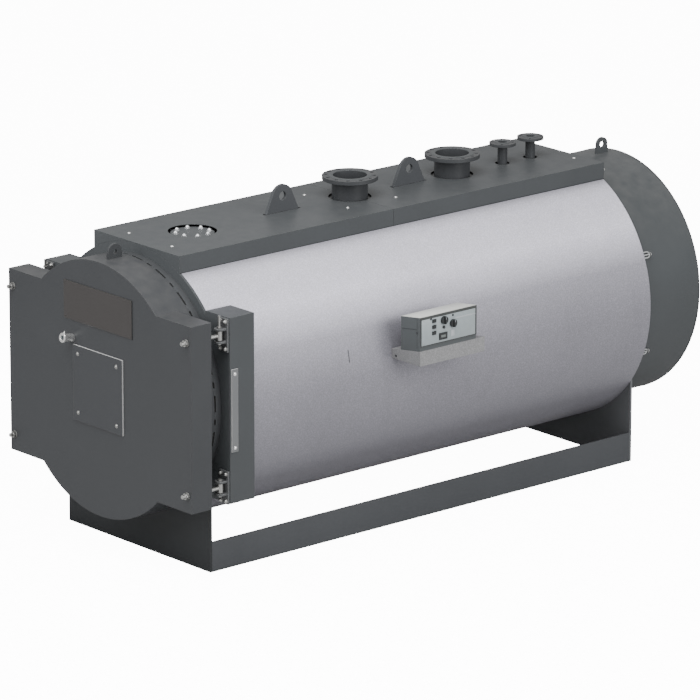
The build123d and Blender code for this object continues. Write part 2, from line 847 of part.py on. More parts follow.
with BuildPart() as sight_glass:
    with BuildSketch(Plane(origin=sight_foot, x_dir=(1, 0, 0), z_dir=sight_direction)):
        Circle(sight_radius)
    extrude(amount=sight_length)
    with BuildSketch(Plane(origin=sight_nose, x_dir=(1, 0, 0), z_dir=sight_direction)):
        Circle(sight_ring_radius)
    extrude(amount=sight_ring_depth)
    with BuildSketch(Plane(origin=sight_foot, x_dir=(1, 0, 0), z_dir=sight_direction)):
        Circle(sight_bore)
    extrude(amount=sight_length + overcut, mode=Mode.SUBTRACT)
    with BuildSketch(upright(door_front_y)):
        Circle(door_radius)
    extrude(amount=-door_depth, mode=Mode.SUBTRACT)
finish(sight_glass, "sight_glass")

# Hinges
hinge_sides = (hinge_x, -hinge_x)
hinge_heights = (hinge_upper_z, hinge_lower_z)
fork_offset = barrel_height / 2.0 + fork_gap
fork_reach = post_front_y - back_plate - hinge_y

with BuildPart() as eye_bolts:
    for x in hinge_sides:
        for z in hinge_heights:
            with BuildSketch(upright(door_front_y - rod_front_length, z, x)):
                Circle(rod_radius)
            extrude(amount=-(hinge_y - door_front_y + rod_front_length))
            with BuildSketch(upright(door_front_y - nut_height, z, x)):
                RegularPolygon(nut_flats / 2.0, 6, major_radius=False)
            extrude(amount=-nut_height)
            with BuildSketch(upright(ear_back_y, z, x)):
                RegularPolygon(nut_flats / 2.0, 6, major_radius=False)
            extrude(amount=-nut_height)
            with BuildSketch(level(z - barrel_height / 2.0, x, hinge_y)):
                Circle(barrel_radius)
            extrude(amount=barrel_height)
            with BuildSketch(level(z - barrel_height / 2.0, x, hinge_y)):
                Circle(barrel_bore)
            extrude(amount=barrel_height, mode=Mode.SUBTRACT)
finish(eye_bolts, "eye_bolts")

with BuildPart() as hinge_forks:
    for x in hinge_sides:
        for z in hinge_heights:
            with BuildSketch(upright(post_front_y - back_plate, z, x)):
                Rectangle(back_plate_width, back_plate_height)
            extrude(amount=-back_plate)
            for foot in (z + fork_offset, z - fork_offset - fork_plate):
                with BuildSketch(level(foot, x, hinge_y)):
                    Circle(fork_width / 2.0)
                    with Locations((0, fork_reach / 2.0)):
                        Rectangle(fork_width, fork_reach)
                    Circle(pin_hole, mode=Mode.SUBTRACT)
                extrude(amount=fork_plate)
finish(hinge_forks, "hinge_forks")

pin_tip = barrel_height / 2.0 - pin_engagement
pin_seat = fork_offset + fork_plate
pin_reach = pin_seat - pin_tip

with BuildPart() as pivot_pins:
    for x in hinge_sides:
        back_off = pin_backed_off if x < 0 else 0.0
        for z in hinge_heights:
            with BuildSketch(level(z + pin_tip + back_off, x, hinge_y)):
                Circle(pin_radius)
            extrude(amount=pin_reach + pin_head_height)
            with BuildSketch(level(z + pin_seat + back_off, x, hinge_y)):
                RegularPolygon(pin_head_flats / 2.0, 6, major_radius=False)
            extrude(amount=pin_head_height)
            with BuildSketch(level(z - pin_seat - pin_head_height - back_off, x, hinge_y)):
                Circle(pin_radius)
            extrude(amount=pin_reach + pin_head_height)
            with BuildSketch(level(z - pin_seat - pin_head_height - back_off, x, hinge_y)):
                RegularPolygon(pin_head_flats / 2.0, 6, major_radius=False)
            extrude(amount=pin_head_height)
        with BuildSketch(level(hinge_upper_z + pin_seat + back_off, x, hinge_y)):
            Circle(pin_radius)
        extrude(amount=long_pin_top - hinge_upper_z - pin_seat - back_off)
finish(pivot_pins, "pivot_pins")

# Control panel
case_start_y = shelf_start_y
case_back_x = panel_front_x - case_depth
shelf_back_x = shell_radius
shelf_drop = (panel_front_x - shelf_back_x) * shelf_slope
case_drop = case_depth * shelf_slope

with BuildPart() as panel_shelf:
    with BuildSketch(upright(shelf_start_y, 0.0)):
        with BuildLine():
            Polyline(
                (shelf_back_x, shelf_bottom),
                (panel_front_x, shelf_bottom),
                (panel_front_x, shelf_front_top),
                (shelf_back_x, shelf_front_top - shelf_drop),
                close=True,
            )
        make_face()
    extrude(amount=-shelf_length)
    with BuildSketch(upright(shelf_start_y)):
        Circle(jacket_radius)
    extrude(amount=-shelf_length, mode=Mode.SUBTRACT)
finish(panel_shelf, "panel_shelf")

with BuildPart() as panel_case:
    with BuildSketch(upright(case_start_y, 0.0)):
        with BuildLine():
            Polyline(
                (case_back_x, shelf_front_top - case_drop),
                (panel_front_x, shelf_front_top),
                (panel_front_x, case_top),
                (case_back_x, case_top - case_drop),
                close=True,
            )
        make_face()
    extrude(amount=-case_length)
    with BuildSketch(sideways(panel_front_x)):
        with Locations(knob_upper_yz, knob_lower_yz):
            Circle(spindle_hole)
    extrude(amount=-(spindle_length + control_clearance), mode=Mode.SUBTRACT)
finish(panel_case, "panel_case")

fascia_y = case_start_y + case_length / 2.0
fascia_z = (shelf_front_top + fascia_foot + case_top) / 2.0
fascia_width = case_length
fascia_height = case_top - shelf_front_top - fascia_foot

with BuildPart() as panel_fascia:
    with BuildSketch(sideways(panel_front_x, fascia_y, fascia_z)):
        Rectangle(fascia_width, fascia_height)
    extrude(amount=fascia_thickness)
    with BuildSketch(sideways(panel_front_x)):
        with Locations(knob_upper_yz, knob_lower_yz):
            Circle(spindle_hole)
    extrude(amount=fascia_thickness, mode=Mode.SUBTRACT)
finish(panel_fascia, "panel_fascia")

with BuildPart() as panel_switches:
    with BuildSketch(sideways(fascia_x)):
        for switch_z in switch_heights:
            with Locations((switch_y, switch_z)):
                Rectangle(switch_width, switch_height)
    extrude(amount=switch_depth)
finish(panel_switches, "panel_switches")

with BuildPart() as panel_gauge:
    with BuildSketch(sideways(fascia_x)):
        with Locations(gauge_yz):
            Rectangle(*gauge_size)
    extrude(amount=gauge_depth)
finish(panel_gauge, "panel_gauge")


def knob(place):
    """Build one round knob with a grip bar and a spindle into the fascia."""
    spindle_start = fascia_x - fascia_thickness - spindle_length
    with BuildSketch(sideways(fascia_x + control_clearance, *place)) as disc:
        Circle(knob_radius)
    extrude(disc.sketch, amount=knob_depth - knob_grip_depth)
    with BuildSketch(sideways(fascia_x + control_clearance, *place)) as grip:
        Rectangle(knob_grip_width, 2.0 * (knob_radius - knob_grip_inset))
    extrude(grip.sketch, amount=knob_depth)
    with BuildSketch(sideways(spindle_start, *place)) as spindle:
        Circle(spindle_radius)
    extrude(spindle.sketch, amount=fascia_thickness + spindle_length + control_clearance)


with BuildPart() as knob_upper:
    knob(knob_upper_yz)
finish(knob_upper, "knob_upper")

with BuildPart() as knob_lower:
    knob(knob_lower_yz)
finish(knob_lower, "knob_lower")
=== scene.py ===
import logging
import math
from dataclasses import dataclass
from enum import Enum

import bmesh
import bpy
from mathutils import Matrix, Vector


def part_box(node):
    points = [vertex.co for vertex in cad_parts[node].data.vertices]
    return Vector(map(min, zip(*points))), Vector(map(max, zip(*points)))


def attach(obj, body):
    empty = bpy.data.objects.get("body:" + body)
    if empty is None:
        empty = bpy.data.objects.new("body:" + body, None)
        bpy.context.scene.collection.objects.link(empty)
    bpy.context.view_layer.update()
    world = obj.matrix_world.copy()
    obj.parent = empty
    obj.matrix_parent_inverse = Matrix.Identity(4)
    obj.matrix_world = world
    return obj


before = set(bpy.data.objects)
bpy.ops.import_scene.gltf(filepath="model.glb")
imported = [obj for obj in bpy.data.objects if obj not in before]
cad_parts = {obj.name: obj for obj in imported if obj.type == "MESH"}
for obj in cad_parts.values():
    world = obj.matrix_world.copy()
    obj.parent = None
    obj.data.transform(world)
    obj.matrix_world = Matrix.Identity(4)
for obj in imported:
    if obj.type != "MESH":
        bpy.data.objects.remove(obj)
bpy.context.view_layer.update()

LOG = logging.getLogger("boiler")
logging.basicConfig(level=logging.INFO, format="%(message)s")

MM = 0.001
FRONT = Vector((0, -1, 0))
BACK = Vector((0, 1, 0))
UP = Vector((0, 0, 1))
RIGHT = Vector((1, 0, 0))
LEFT = Vector((-1, 0, 0))
WHITE = (1.0, 1.0, 1.0)
GREY = (0.5, 0.5, 0.5)

Triple = tuple[float, float, float]
Colour = Triple
Pair = tuple[float, float]
Profile = tuple[Pair, ...]
Socket = bpy.types.NodeSocket


class Body(Enum):
    """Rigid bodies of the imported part."""

    FRAME = "frame"
    DOOR = "door"
    UPPER_KNOB = "upper_knob"
    LOWER_KNOB = "lower_knob"


class Slot(Enum):
    """Material slots of the record."""

    DARK = "dark_paint"
    STEEL = "bare_steel"
    PALE = "pale_paint"
    FASCIA = "fascia_plastic"
    BLACK = "black_plastic"
    GAUGE = "gauge_plastic"
    PLATE = "nameplate_paint"


class Nodes:
    """A shader node tree in the making."""

    def __init__(self, tree: bpy.types.NodeTree) -> None:
        """Keep the tree that the nodes are added to."""
        self.tree = tree

    def put(self, value: object, target: Socket) -> None:
        """Set or link an input socket.

        Args:
            value: number, colour, vector, or the socket to link from.
            target: input socket.
        """
        if isinstance(value, Socket):
            self.tree.links.new(value, target)
        elif target.type == "RGBA":
            target.default_value = (*value, 1.0)
        else:
            target.default_value = value

    def node(self, kind: str, feeds: dict | None = None, **settings: object) -> bpy.types.Node:
        """Add a shader node.

        Args:
            kind: its type, without the ShaderNode in front.
            feeds: values or sockets for its inputs.
            **settings: properties to set on it.

        Returns:
            The new node.
        """
        made = self.tree.nodes.new("ShaderNode" + kind)
        for key, value in settings.items():
            setattr(made, key, value)
        for key, value in (feeds or {}).items():
            self.put(value, made.inputs[key])
        return made

    def remap(self, feed: Socket, start: tuple = (0.0, 1.0), end: Pair = (0.0, 1.0)) -> Socket:
        """Map a value from its start range, numbers or sockets, to its end range, clamped."""
        limits = {"From Min": start[0], "From Max": start[1], "To Min": end[0], "To Max": end[1]}
        return self.node("MapRange", {"Value": feed, **limits}).outputs["Result"]


class GroupBuilder(Nodes):
    """Builds one shader node group with named sockets."""

    def __init__(self, name: str, inputs: dict[str, float | None], outputs: dict[str, str]) -> None:
        """Start a group with its sockets.

        Args:
            name: name of the node group.
            inputs: default of each float input; None makes a vector input.
            outputs: kind of each output, Float or Vector.
        """
        super().__init__(bpy.data.node_groups.new(name, "ShaderNodeTree"))
        sockets = self.tree.interface
        for key, default in inputs.items():
            kind = "Vector" if default is None else "Float"
            made = sockets.new_socket(key, in_out="INPUT", socket_type=f"NodeSocket{kind}")
            if default is not None:
                made.default_value = default
        for key, kind in outputs.items():
            sockets.new_socket(key, in_out="OUTPUT", socket_type=f"NodeSocket{kind}")
        self.given = self.tree.nodes.new("NodeGroupInput").outputs
        self.result = self.tree.nodes.new("NodeGroupOutput").inputs

    def calc(self, operation: str, first: object, second: object = 0.0) -> Socket:
        """Add a math node on two sockets or numbers and give its result."""
        return self.node("Math", {0: first, 1: second}, operation=operation).outputs[0]

    def dot(self, first: Socket, second: Socket) -> Socket:
        """Give the dot product of two vectors."""
        made = self.node("VectorMath", {0: first, 1: second}, operation="DOT_PRODUCT")
        return made.outputs["Value"]

    def height(self, vector: Socket) -> Socket:
        """Give the upward part of a vector."""
        return self.node("SeparateXYZ", {0: vector}).outputs["Z"]

    def noise(self, scale: object, detail: float, stretch: Triple | None = None) -> Socket:
        """Add a noise texture on the group's Vector.

        Args:
            scale: socket or number.
            detail: noise detail.
            stretch: scale of the coordinates along each axis.

        Returns:
            The noise factor socket.
        """
        vector = self.given["Vector"]
        if stretch:
            vector = self.node("Mapping", {"Vector": vector, "Scale": stretch}).outputs["Vector"]
        feeds = {"Vector": vector, "Scale": scale, "Detail": detail}
        return self.node("TexNoise", feeds).outputs["Fac"]

    def relief(self, height: Socket, distance: float) -> None:
        """Put a relief of the group's Depth on its Normal; the distance is in metres."""
        feeds = {"Strength": self.given["Depth"], "Distance": distance, "Height": height}
        self.put(self.node("Bump", feeds).outputs["Normal"], self.result["Normal"])


def build_soft_edge() -> bpy.types.NodeTree:
    """Group that rounds edges in shading and masks them.

    Returns:
        The node group.
    """
    inputs = {"Radius": 0.004, "Base Normal": None}
    g = GroupBuilder("SoftEdge", inputs, {"Normal": "Vector", "Edge": "Float"})
    feeds = {"Radius": g.given["Radius"], "Normal": g.given["Base Normal"]}
    bevel = g.node("Bevel", feeds, samples=4).outputs["Normal"]
    bend = g.calc("SUBTRACT", 1.0, g.dot(bevel, g.node("NewGeometry").outputs["Normal"]))
    g.put(g.remap(bend, (0.02, 0.22)), g.result["Edge"])
    g.put(bevel, g.result["Normal"])
    return g.tree


def build_paint_grain() -> bpy.types.NodeTree:
    """Group with the fine orange peel of sprayed paint and its slow colour change.

    Returns:
        The node group.
    """
    inputs = {"Vector": None, "Scale": 260.0, "Depth": 0.12, "Mottle Scale": 3.0}
    g = GroupBuilder("PaintGrain", inputs, {"Normal": "Vector", "Mottle": "Float", "Fine": "Float"})
    fine = g.noise(g.given["Scale"], 2.0)
    slow = g.noise(g.given["Mottle Scale"], 4.0)
    g.relief(fine, 0.0006)
    g.put(g.remap(slow, (0.3, 0.7)), g.result["Mottle"])
    g.put(g.remap(fine, (0.3, 0.7)), g.result["Fine"])
    return g.tree


def build_dust() -> bpy.types.NodeTree:
    """Group that masks the dust lying on faces that look up.

    Returns:
        The node group.
    """
    g = GroupBuilder("Dust", {"Vector": None, "Amount": 0.3}, {"Mask": "Float"})
    up = g.remap(g.height(g.node("TexCoord").outputs["Normal"]), (0.35, 1.0))
    patch = g.remap(g.noise(14.0, 6.0), (0.25, 0.8))
    both = g.calc("MULTIPLY", up, patch)
    g.put(g.calc("MULTIPLY", both, g.given["Amount"]), g.result["Mask"])
    return g.tree


def build_streaks() -> bpy.types.NodeTree:
    """Group with faint runs down standing faces.

    Returns:
        The node group.
    """
    g = GroupBuilder("Streaks", {"Vector": None, "Width": 30.0}, {"Mask": "Float"})
    runs = g.noise(g.given["Width"], 3.0, (1.0, 1.0, 0.06))
    g.put(g.remap(runs, (0.5, 0.75)), g.result["Mask"])
    return g.tree


def build_speckle() -> bpy.types.NodeTree:
    """Group with the pebbled relief of embossed sheet.

    Returns:
        The node group.
    """
    inputs = {"Vector": None, "Scale": 150.0, "Depth": 0.25}
    g = GroupBuilder("SheetSpeckle", inputs, {"Normal": "Vector", "Relief": "Float"})
    feeds = {"Vector": g.given["Vector"], "Scale": g.given["Scale"]}
    cells = g.node("TexVoronoi", feeds, feature="SMOOTH_F1").outputs["Distance"]
    g.relief(cells, 0.0008)
    g.put(g.remap(cells, (0.1, 0.7)), g.result["Relief"])
    return g.tree


def build_cut_face() -> bpy.types.NodeTree:
    """Group that masks the faces of a plate that stand along its thickness.

    Returns:
        The node group.
    """
    g = GroupBuilder("CutFace", {"Axis": None}, {"Mask": "Float"})
    along = g.calc("ABSOLUTE", g.dot(g.node("TexCoord").outputs["Normal"], g.given["Axis"]))
    g.put(g.remap(g.calc("SUBTRACT", 1.0, along), (0.3, 0.8)), g.result["Mask"])
    return g.tree


def build_height_tone() -> bpy.types.NodeTree:
    """Group that tells how high a point lies, from the underside to the top.

    Returns:
        The node group.
    """
    g = GroupBuilder("HeightTone", {"Vector": None, "Low": 0.2, "High": 1.8}, {"Height": "Float"})
    limits = (g.given["Low"], g.given["High"])
    g.put(g.remap(g.height(g.given["Vector"]), limits), g.result["Height"])
    return g.tree


def build_brushed() -> bpy.types.NodeTree:
    """Group with the fine drawn lines of bare steel.

    Returns:
        The node group.
    """
    inputs = {"Vector": None, "Scale": 500.0}
    g = GroupBuilder("Brushed", inputs, {"Lines": "Float", "Stain": "Float"})
    g.put(g.noise(g.given["Scale"], 2.0, (1.0, 0.04, 1.0)), g.result["Lines"])
    g.put(g.remap(g.noise(18.0, 5.0), (0.45, 0.75)), g.result["Stain"])
    return g.tree


class Effects:
    """The shared node groups, built once."""

    def __init__(self) -> None:
        """Build every group."""
        self.edge = build_soft_edge()
        self.grain = build_paint_grain()
        self.dust = build_dust()
        self.streaks = build_streaks()
        self.speckle = build_speckle()
        self.brushed = build_brushed()
        self.cut_face = build_cut_face()
        self.height_tone = build_height_tone()


class Shader(Nodes):
    """One material in the making."""

    def __init__(self, name: str) -> None:
        """Start a material with its Principled shader and object coordinates.

        Args:
            name: material name.
        """
        self.material = bpy.data.materials.new(name)
        self.material.use_nodes = True
        super().__init__(self.material.node_tree)
        self.coordinates = self.node("TexCoord").outputs["Object"]

    def group(self, tree: bpy.types.NodeTree, **values: object) -> dict[str, Socket]:
        """Add a group node fed with the object coordinates.

        Args:
            tree: the node group.
            **values: values or sockets of its inputs, with underscores for spaces.

        Returns:
            Its output sockets by name.
        """
        made = self.node("Group", node_tree=tree)
        if "Vector" in made.inputs:
            self.put(self.coordinates, made.inputs["Vector"])
        for key, value in values.items():
            self.put(value, made.inputs[key.replace("_", " ")])
        return dict(made.outputs.items())

    def mix(self, mask: object, first: object, second: object, blend: str = "MIX") -> Socket:
        """Mix two colours or colour sockets by a mask and give the result."""
        feeds = {0: mask, 6: first, 7: second}
        return self.node("Mix", feeds, data_type="RGBA", blend_type=blend).outputs[2]

    def surface(self, **values: object) -> bpy.types.Material:
        """Feed the Principled shader.

        Args:
            **values: values or sockets of its inputs, with underscores for spaces.

        Returns:
            The material.
        """
        for key, value in values.items():
            self.put(value, self.tree.nodes["Principled BSDF"].inputs[key.replace("_", " ")])
        return self.material


def tint(colour: Colour, factor: float, lift: float = 0.0) -> Colour:
    """Make a colour lighter or darker by a factor, and then by what is added."""
    return tuple(min(1.0, part * factor + lift) for part in colour)


@dataclass(frozen=True)
class PaintFinish:
    """Sprayed paint on steel, with orange peel, softened edges, dust and faint runs; it paints a highlight
    along the edges, partly edge wear, and can paint front and back faces and cut faces lighter.
    """

    name: str
    colour: Colour
    edge_highlight_colour: Colour
    roughness: float = 0.42
    grain: float = 0.12
    edge_radius: float = 0.004
    edge_highlight_amount: float = 0.45
    dust: float = 0.03
    dust_colour: Colour = (0.42, 0.40, 0.37)
    streak: float = 0.05
    streak_tint: float = 0.72
    mottle: float = 0.04
    specular: float = 0.22
    cut_axis: Triple | None = None
    cut_highlight_colour: Colour = GREY
    front_back_painted_light: float = 1.0

    def build(self, effects: Effects) -> bpy.types.Material:
        """Build the material.

        Args:
            effects: shared node groups.

        Returns:
            The material.
        """
        s = Shader(self.name)
        grain = s.group(effects.grain, Depth=self.grain)
        edge = s.group(effects.edge, Radius=self.edge_radius, Base_Normal=grain["Normal"])
        dust = s.group(effects.dust, Amount=self.dust)
        runs = s.group(effects.streaks)
        darker, lighter = (tint(self.colour, 1.0 + share) for share in (-self.mottle, self.mottle))
        colour = s.mix(grain["Mottle"], darker, lighter)
        # Painted light: faces that look to the front or back are made lighter.
        if self.front_back_painted_light > 1.0:
            sides = s.group(effects.cut_face, Axis=(0.0, 1.0, 0.0))
            colour = s.mix(sides["Mask"], tint(self.colour, self.front_back_painted_light), colour)
        run_mask = s.remap(runs["Mask"], end=(0.0, self.streak))
        colour = s.mix(run_mask, colour, tint(self.colour, self.streak_tint))
        colour = s.mix(dust["Mask"], colour, self.dust_colour)
        # Painted highlight along the edges, partly edge wear.
        edge_highlight_mask = s.remap(edge["Edge"], end=(0.0, self.edge_highlight_amount))
        colour = s.mix(edge_highlight_mask, colour, self.edge_highlight_colour)
        # Painted highlight: the faces across the cut axis take a lighter colour.
        if self.cut_axis:
            cut = s.group(effects.cut_face, Axis=self.cut_axis)
            colour = s.mix(cut["Mask"], colour, self.cut_highlight_colour)
        rough = s.remap(grain["Mottle"], end=(self.roughness - 0.05, self.roughness + 0.07))
        return s.surface(
            Base_Color=colour,
            Roughness=rough,
            Normal=edge["Normal"],
            Specular_IOR_Level=self.specular,
        )


@dataclass(frozen=True)
class SheetFinish:
    """Pale coated sheet with a pebbled relief and a dull metal sheen.

    Its colour takes a share of the given colour at each height, from 0 at the underside to 1 at the top;
    this paints light and shade by height.
    """

    name: str
    colour: Colour
    roughness: float = 0.42
    metallic: float = 0.3
    depth: float = 0.5
    dust: float = 0.06
    dust_colour: Colour = (0.45, 0.43, 0.40)
    pit_shade: float = 0.6
    streak: float = 0.08
    underside: float = 0.19
    top: float = 1.86
    painted_light_stops: Profile = ((0.0, 1.0), (1.0, 1.0))

    def build(self, effects: Effects) -> bpy.types.Material:
        """Build the material.

        Args:
            effects: shared node groups.

        Returns:
            The material.
        """
        s = Shader(self.name)
        relief = s.group(effects.speckle, Depth=self.depth)
        grain = s.group(effects.grain, Mottle_Scale=2.2)
        edge = s.group(effects.edge, Radius=0.003, Base_Normal=relief["Normal"])
        dust = s.group(effects.dust, Amount=self.dust)
        runs = s.group(effects.streaks, Width=14.0)
        height = s.group(effects.height_tone, Low=self.underside, High=self.top)
        # Painted light and shade: the colour changes with height.
        painted_light_ramp = s.node("ValToRGB", {"Fac": height["Height"]})
        points = painted_light_ramp.color_ramp.elements
        for index, (place, share) in enumerate(self.painted_light_stops):
            point = points[index] if index < 2 else points.new(place)
            point.position = place
            point.color = (*tint(self.colour, share), 1.0)
        colour = painted_light_ramp.outputs["Color"]
        for shade in (
            s.mix(grain["Mottle"], tint(WHITE, 0.95), WHITE),
            # Painted shade: darker in the pits of the relief.
            s.mix(s.remap(relief["Relief"], end=(self.pit_shade, 0.0)), WHITE, GREY),
            s.mix(s.remap(runs["Mask"], end=(0.0, self.streak)), WHITE, GREY),
        ):
            colour = s.mix(1.0, colour, shade, "MULTIPLY")
        return s.surface(
            Base_Color=s.mix(dust["Mask"], colour, self.dust_colour),
            Metallic=self.metallic,
            Roughness=s.remap(grain["Fine"], end=(self.roughness - 0.05, self.roughness + 0.08)),
            Normal=edge["Normal"],
        )


@dataclass(frozen=True)
class SteelFinish:
    """Bare or zinc-plated steel with drawn lines and light stains."""

    name: str
    colour: Colour
    roughness: float = 0.33
    stain: float = 0.25

    def build(self, effects: Effects) -> bpy.types.Material:
        """Build the material.

        Args:
            effects: shared node groups.

        Returns:
            The material.
        """
        s = Shader(self.name)
        lines = s.group(effects.brushed)
        edge = s.group(effects.edge, Radius=0.0015)
        stain = s.remap(lines["Stain"], end=(0.0, self.stain))
        colour = s.mix(stain, self.colour, tint(self.colour, 0.55))
        # The edges are made lighter: painted highlight, partly edge wear.
        return s.surface(
            Base_Color=s.mix(s.remap(edge["Edge"], end=(0.0, 0.5)), colour, tint(self.colour, 1.25)),
            Metallic=0.9,
            Roughness=s.remap(lines["Lines"], end=(self.roughness - 0.08, self.roughness + 0.12)),
            Normal=edge["Normal"],
        )


@dataclass(frozen=True)
class MouldedFinish:
    """Moulded plastic or enamel, with a fine texture."""

    name: str
    colour: Colour
    roughness: float = 0.4
    depth: float = 0.08

    def build(self, effects: Effects) -> bpy.types.Material:
        """Build the material.

        Args:
            effects: shared node groups.

        Returns:
            The material.
        """
        s = Shader(self.name)
        grain = s.group(effects.grain, Scale=900.0, Depth=self.depth, Mottle_Scale=25.0)
        edge = s.group(effects.edge, Radius=0.0012, Base_Normal=grain["Normal"])
        colour = s.mix(grain["Mottle"], tint(self.colour, 0.92), self.colour)
        # The edges are made lighter: painted highlight.
        lighter = tint(self.colour, 1.3, 0.02)
        return s.surface(
            Base_Color=s.mix(s.remap(edge["Edge"], end=(0.0, 0.4)), colour, lighter),
            Roughness=s.remap(grain["Fine"], end=(self.roughness - 0.06, self.roughness + 0.08)),
            Normal=edge["Normal"],
        )


@dataclass(frozen=True)
class MineralFinish:
    """Cast refractory, woven rope or floor: rough, matt and uneven."""

    name: str
    colour: Colour
    stain: Colour
    scale: float = 40.0
    depth: float = 0.5
    glow: float = 0.0

    def build(self, effects: Effects) -> bpy.types.Material:
        """Build the material.

        Args:
            effects: shared node groups.

        Returns:
            The material.
        """
        s = Shader(self.name)
        coarse = s.group(effects.grain, Scale=self.scale, Depth=self.depth, Mottle_Scale=9.0)
        colour = s.mix(coarse["Mottle"], self.stain, self.colour)
        colour = s.mix(s.remap(coarse["Fine"], end=(0.4, 0.0)), colour, tint(self.colour, 0.8))
        if self.glow:
            seen = s.node("LightPath").outputs["Is Camera Ray"]
            s.surface(Emission_Color=colour, Emission_Strength=s.remap(seen, end=(0.0, self.glow)))
        return s.surface(
            Base_Color=colour,
            Roughness=s.remap(coarse["Fine"], end=(0.82, 0.96)),
            Normal=coarse["Normal"],
        )


@dataclass(frozen=True)
class GlassFinish:
    """Dark heat-proof glass with a faint smear."""

    name: str
    colour: Colour

    def build(self, effects: Effects) -> bpy.types.Material:
        """Build the material.

        Args:
            effects: shared node groups.

        Returns:
            The material.
        """
        s = Shader(self.name)
        grain = s.group(effects.grain, Scale=60.0, Depth=0.02, Mottle_Scale=30.0)
        return s.surface(
            Base_Color=s.mix(grain["Mottle"], tint(self.colour, 0.7), self.colour),
            Roughness=s.remap(grain["Fine"], end=(0.04, 0.12)),
            Coat_Weight=1.0,
            Normal=grain["Normal"],
        )


# Lighter edge colours: painted highlight along the edges, partly edge wear.
PAINT_EDGE_HIGHLIGHT = (0.10, 0.106, 0.11)
RING_EDGE_HIGHLIGHT = (0.09, 0.095, 0.10)
# Painted light and shade on the jacket by height: lighter at the very underside, darker through the lower
# half, a painted highlight band high on the side and a painted shadow just under the top cover.
JACKET_PAINTED_LIGHT_STOPS = (
    (0.0, 0.48),
    (0.17, 0.275),
    (0.25, 0.29),
    (0.5, 0.31),
    (0.67, 0.395),
    (0.8, 0.91),
    (0.905, 0.83),
    (0.922, 0.72),
    (0.94, 0.41),
)


class Finish(Enum):
    """Every finish in the scene."""

    # Dark paint; its front and back faces get painted light.
    DARK = PaintFinish("dark_grey_paint", (0.0475, 0.0515, 0.0545), PAINT_EDGE_HIGHLIGHT, front_back_painted_light=1.28)
    DOOR = PaintFinish(
        "door_paint", (0.038, 0.040, 0.043), (0.11, 0.115, 0.12), edge_highlight_amount=0.5, dust=0.06
    )
    SMOKE = PaintFinish("smoke_box_paint", (0.051, 0.0555, 0.0585), PAINT_EDGE_HIGHLIGHT, dust=0.08)
    RING = PaintFinish("ring_paint", (0.043, 0.0455, 0.0485), RING_EDGE_HIGHLIGHT, dust=0.02)
    # Painted shade: near-black copy of the base paint for the front plate, which the door shades.
    FRONT_PLATE_PAINTED_SHADE = PaintFinish(
        "front_plate_painted_shade", (0.024, 0.0258, 0.0275), (0.065, 0.068, 0.07), specular=0.18
    )
    # Painted light: a much lighter copy of the base paint for the rear plate.
    REAR_PLATE_PAINTED_LIGHT = PaintFinish(
        "rear_plate_painted_light", (0.105, 0.109, 0.115), (0.18, 0.185, 0.19), specular=0.3
    )
    BEAM = PaintFinish("beam_paint", (0.052, 0.055, 0.0595), (0.12, 0.125, 0.13))
    HINGE = PaintFinish("hinge_paint", (0.075, 0.077, 0.08), (0.30, 0.31, 0.32), edge_highlight_amount=0.8)
    JACKET = SheetFinish("jacket_sheet", (0.775, 0.76, 0.86), painted_light_stops=JACKET_PAINTED_LIGHT_STOPS)
    SHELF = SheetFinish("shelf_sheet", (0.25, 0.25, 0.255), depth=0.06)
    # The strip's and the burner plate's cut faces are painted lighter: painted highlight.
    STRIP = PaintFinish("strip_paint", (0.12, 0.124, 0.128), GREY, cut_axis=(1.0, 0.0, 0.0))
    PLATE_CUT = PaintFinish(
        "burner_plate_paint", (0.039, 0.041, 0.0445), (0.2, 0.2, 0.2), cut_axis=(0.0, 1.0, 0.0)
    )
    PANEL = PaintFinish("panel_paint", (0.066, 0.0725, 0.075), (0.17, 0.18, 0.18))
    LID = PaintFinish("panel_lid", (0.45, 0.455, 0.435), (0.6, 0.6, 0.58), roughness=0.5)
    BEZEL = MouldedFinish("bezel", (0.035, 0.0375, 0.037))
    FACE = MouldedFinish("fascia_film", (0.25, 0.283, 0.295), roughness=0.35)
    STRIPE = MouldedFinish("fascia_stripe", (0.34, 0.36, 0.38), roughness=0.35)
    BLACK = MouldedFinish("black_plastic", (0.010, 0.012, 0.013), roughness=0.38)
    DISPLAY = MouldedFinish("display", (0.12, 0.135, 0.13), roughness=0.2)
    LAMP = MouldedFinish("lamp", (0.03, 0.032, 0.034), roughness=0.2)
    ZINC = SteelFinish("zinc_steel", (0.36, 0.36, 0.35))
    BRIGHT = SteelFinish("bright_steel", (0.80, 0.80, 0.79), roughness=0.25, stain=0.1)
    CLAMP = SteelFinish("clamp_steel", (0.58, 0.59, 0.60), stain=0.15)
    TUBE = SteelFinish("tube_steel", (0.30, 0.27, 0.25), roughness=0.5, stain=0.6)
    REFRACTORY = MineralFinish("refractory", (0.60, 0.52, 0.42), (0.42, 0.35, 0.28))
    ROPE = MineralFinish("rope", (0.72, 0.69, 0.62), (0.55, 0.50, 0.42), scale=160.0)
    WELD = PaintFinish("weld_bead", (0.04, 0.043, 0.046), RING_EDGE_HIGHLIGHT, grain=0.5, edge_radius=0.002)
    PLATE = PaintFinish("nameplate", (0.040, 0.037, 0.036), (0.10, 0.095, 0.09), roughness=0.36)
    GLASS = GlassFinish("sight_glass", (0.02, 0.03, 0.035))
    FLOOR = MineralFinish("floor", (0.52, 0.52, 0.52), GREY, depth=0.02, glow=26.0)


class Palette:
    """Builds each finish once."""

    def __init__(self) -> None:
        """Build the shared groups."""
        self.effects = Effects()
        self.made: dict[Finish, bpy.types.Material] = {}

    def get(self, finish: Finish) -> bpy.types.Material:
        """Give the material of a finish.

        Args:
            finish: which finish.

        Returns:
            Its material.
        """
        if finish not in self.made:
            self.made[finish] = finish.value.build(self.effects)
        return self.made[finish]


